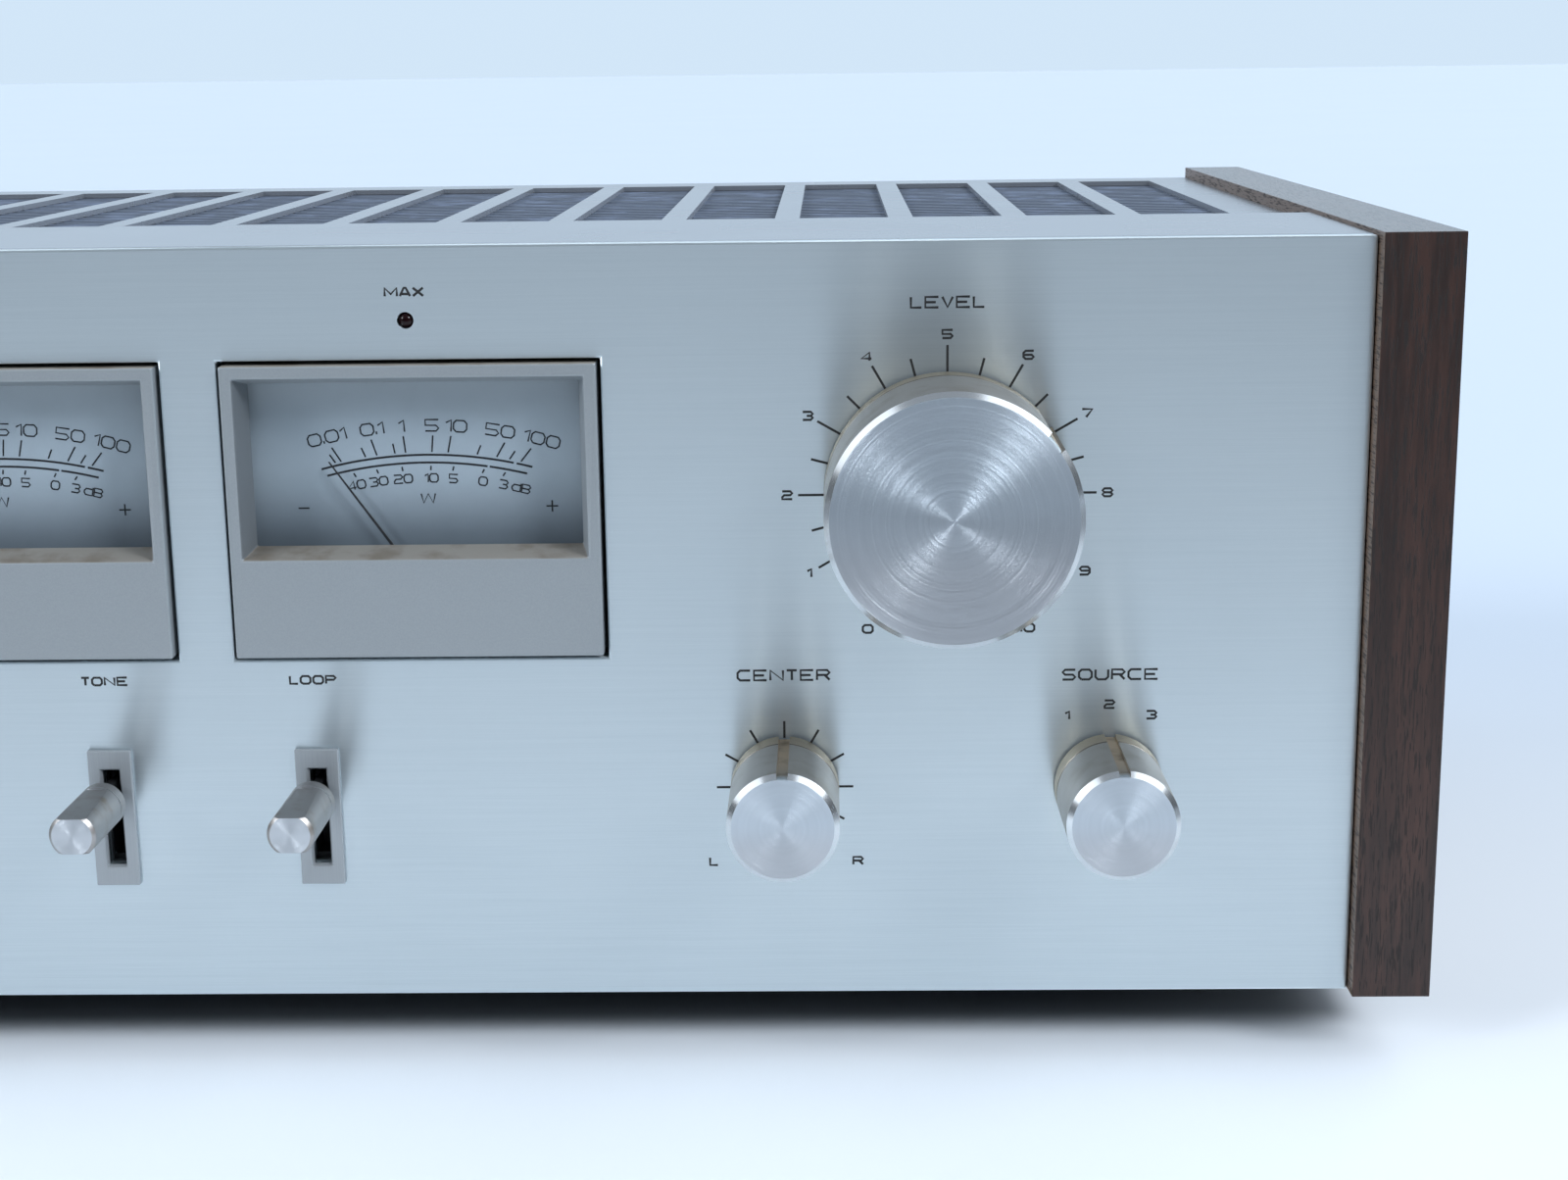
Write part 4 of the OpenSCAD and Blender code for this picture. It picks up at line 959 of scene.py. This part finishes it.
def spun_aluminium(name, spot, radius, reach, tones, satin):
    f = Finish(name)
    away, rise, lean_way = turned(f, spot)
    rings = tool_marks(f, away - rise, tool_pitch)
    bands = tool_marks(f, away - rise, band_pitch)
    frontal = f.size(f.part(f.facing(), "Y"))
    face_start = reach - face_depth
    chamfer_start = reach - chamfer_depth
    face = f.step(frontal, 0.85, 0.95) * f.step(rise, face_start - finish_blend, face_start)
    side = 1.0 - f.step(frontal, 0.05, 0.3)
    fore = f.step(rise, chamfer_start - finish_blend, chamfer_start)
    chamfer = (1.0 - face) * (1.0 - side) * fore
    # The lower half of the face: painted shade makes its tone darker and warmer, and its marks lean less.
    shaded_lower_half = f.step(spot.y - f.part(f.place(), "Z"), -0.2 * radius, 0.5 * radius)
    lean = (1.0 - chamfer) * (side_lean + (face_lean - lower_lean * shaded_lower_half) * face) * (rings - 0.5)
    leaning = f.vector("ADD", f.facing(), f.scaled(lean_way, lean))
    skirt = 1.0 - f.step(rise, skirt_top, ring_top)
    groove = side * (1.0 - f.step(away, radius - groove_deep, radius - groove_shallow))
    stain = f.step(f.noise(f.place(), 180.0, 4.0), 0.45, 0.75)
    barrel = f.mix(skirt, tint("aeaca8"), tint("b0a694"))
    worn = f.mix(0.4 * stain, barrel, tint("857a69"))
    flank = f.mix(groove, worn, f.mix(stain, tint("c4b199"), tint("7d6c57")))
    fresh = f.mix(bands, tint(tones[0]), tint(tones[1]))
    spun = f.mix(0.3 * shaded_lower_half, fresh, tint("b0a8a6"))
    # Faces that are neither face, chamfer nor side, such as the ring's shoulders and the edge breaks, are
    # painted dark grey: painted shade in the ring.
    turning = f.mix(side, tint("77726a"), flank)
    bright_cut = f.mix(chamfer, turning, tint("d4d9dc"))
    return f.coat({
        "Base Color": f.mix(face, bright_cut, spun),
        "Metallic": 1.0,
        "Roughness": satin * face + 0.20 * chamfer + 0.42 * side + 0.3 * (1.0 - face - chamfer - side),
        "Normal": f.unit(leaning),
    })


for control in CONTROLS:
    node = control + "_knob"
    degrees, width, tones, satin = LARGE_KNOB if control == "volume" else SMALL_KNOB
    low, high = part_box(node)
    spot = spot_of(node)
    radius = (high.x - low.x) / 2
    reach = panel_face - low.y
    bm = knob_mesh(spot, radius, reach, math.radians(degrees), width)
    finish = spun_aluminium(node + "_aluminium", spot, radius, reach, tones, satin)
    fit(make_piece(node + "_piece", bm, knob_smooth), finish, node)


# The levers: turned aluminium caps with two flats, pressed on blackened steel blades that slide
# through slot plates of grey anodised sheet into slide switches behind the sub-panel.
def lever_aluminium(name, spot):
    f = Finish(name)
    away, rise, lean_way = turned(f, spot)
    rings = tool_marks(f, away - rise, tool_pitch)
    stain = f.noise(f.place(), 260.0, 4.0)
    # The end face is painted a lighter, cooler grey than the flanks: painted light.
    painted_light_end = f.step(0.0 - f.part(f.facing(), "Y"), 0.8, 0.95)
    lean = (0.5 + 2.5 * painted_light_end) * (rings - 0.5)
    leaning = f.vector("ADD", f.facing(), f.scaled(lean_way, lean))
    flank = f.mix(f.step(stain, 0.5, 0.8), tint("a09e9d"), tint("8d8478"))
    return f.coat({
        "Base Color": f.mix(painted_light_end, flank, tint("babfc4")),
        "Metallic": 1.0,
        "Roughness": 0.34 + 0.08 * stain,
        "Normal": f.unit(leaning),
    })


def plate_grey():
    f = Finish("plate_grey")
    hair = f.streaks((4000.0, 4000.0, 60.0), 2.0)
    return f.coat({
        "Base Color": f.mix(hair, tint("8c9297"), tint("9aa0a4")),
        "Metallic": 0.4,
        "Roughness": 0.38 + 0.1 * hair,
    })


slider_finish = grained(
    "blackened_steel", "1c1d1e", "2e2f31", metal=0.7, scale=1400.0, detail=3.0, rough=0.4, spread=0.2,
)
for lever in ("power", "loudness", "tape"):
    node = lever + "_lever"
    softened(node, lever_aluminium(node + "_aluminium", spot_of(node)), width=0.00012)
    softened(lever + "_slider", slider_finish, width=0.0002)
softened("lever_plates", plate_grey(), width=0.00018)
softened("slide_switches", plastic_finish, width=0.0003)

# The headphone jack: a black moulded body behind the sub-panel, whose bush comes through the panel and
# is held there by the ring nut among the control nuts.
softened("phones_jack", plastic_finish, width=0.0003)


# The power supply: a transformer of stacked steel laminations round a taped copper winding, and two
# tall filter capacitors in blue sleeves.
def lamination_steel():
    f = Finish("lamination_steel")
    place = f.place()
    wave = {"Vector": place, "Scale": 320.0}
    layer = f.node("ShaderNodeTexWave", {"bands_direction": "Y"}, wave, "Fac")
    rust = f.noise(place, 150.0, 4.0)
    steel = f.mix(layer, tint("3a3c3e"), tint("5c5e60"))
    return f.coat({
        "Base Color": f.mix(0.5 * f.step(rust, 0.55, 0.8), steel, tint("6a4a35")),
        "Metallic": 0.7,
        "Roughness": 0.45 + 0.2 * layer,
        "Normal": f.bump(layer, 0.0001, 0.5),
    })


def winding_tape():
    f = Finish("winding_tape")
    place = f.place()
    wave = {"Vector": place, "Scale": 190.0}
    turn = f.node("ShaderNodeTexWave", {"bands_direction": "Z"}, wave, "Fac")
    crease = f.noise(place, 130.0, 3.0)
    return f.coat({
        "Base Color": f.mix(turn, tint("a2622a"), tint("c98a45")),
        "Roughness": 0.35 + 0.2 * crease,
        "Normal": f.bump(turn, 0.0002, 0.6),
    })


def capacitor_sleeve():
    f = Finish("capacitor_sleeve")
    crease = f.noise(f.place(), 200.0, 3.0)
    top = f.step(f.part(f.facing(), "Z"), 0.5, 0.9)
    sleeve = f.mix(crease, tint("1d3350"), tint("2a456a"))
    return f.coat({
        "Base Color": f.mix(top, sleeve, tint("9fa3a6")),
        "Roughness": 0.3 + 0.15 * crease,
        "Normal": f.bump(crease, 0.0002, 0.3),
    })


softened("transformer_core", lamination_steel(), width=0.0003)
softened("transformer_coil", winding_tape(), width=0.002, segments=4)
softened("filter_capacitors", capacitor_sleeve(), width=0.0012, segments=4)


# The amplifier: an extruded black heat sink with its output transistors, and two laminate boards on
# brass posts.
def sink_black():
    f = Finish("sink_black")
    draw = f.streaks((3000.0, 3000.0, 40.0), 2.0)
    return f.coat({
        "Base Color": f.mix(draw, tint("1d1f21"), tint("2c2e31")),
        "Metallic": 0.6,
        "Roughness": 0.42 + 0.12 * draw,
    })


def board_laminate():
    f = Finish("board_laminate")
    place = f.place()
    weave = f.noise(place, 900.0, 3.0)
    track = f.node("ShaderNodeTexBrick", None, {"Vector": place, "Scale": 60.0}, "Fac")
    laminate = f.mix(weave, tint("7a5a2c"), tint("94703a"))
    return f.coat({
        "Base Color": f.mix(0.4 * track, laminate, tint("5a6b3a")),
        "Roughness": 0.45 + 0.15 * weave,
        "Normal": f.bump(track, 0.00005, 0.4),
    })


softened("heat_sink", sink_black(), width=0.0003)
softened("output_transistors", plastic_finish, width=0.0004)
board_finish = board_laminate()
softened("amplifier_board", board_finish, width=0.0001)
softened("control_board", board_finish, width=0.0001)
softened("board_posts", brass_finish, width=0.0002)

# The rear fittings: nickel plated phono jacks, a black barrier strip for the speaker wires and a
# moulded gland for the mains cord.
nickel_finish = grained(
    "jack_nickel", "b4b0a2", "d2cebf", metal=1.0, scale=1100.0, detail=3.0, rough=0.2, spread=0.2,
)
softened("input_jacks", nickel_finish, width=0.0003)
softened("speaker_terminals", plastic_finish, width=0.0004)
softened("cord_gland", plastic_finish, width=0.0005, segments=3)
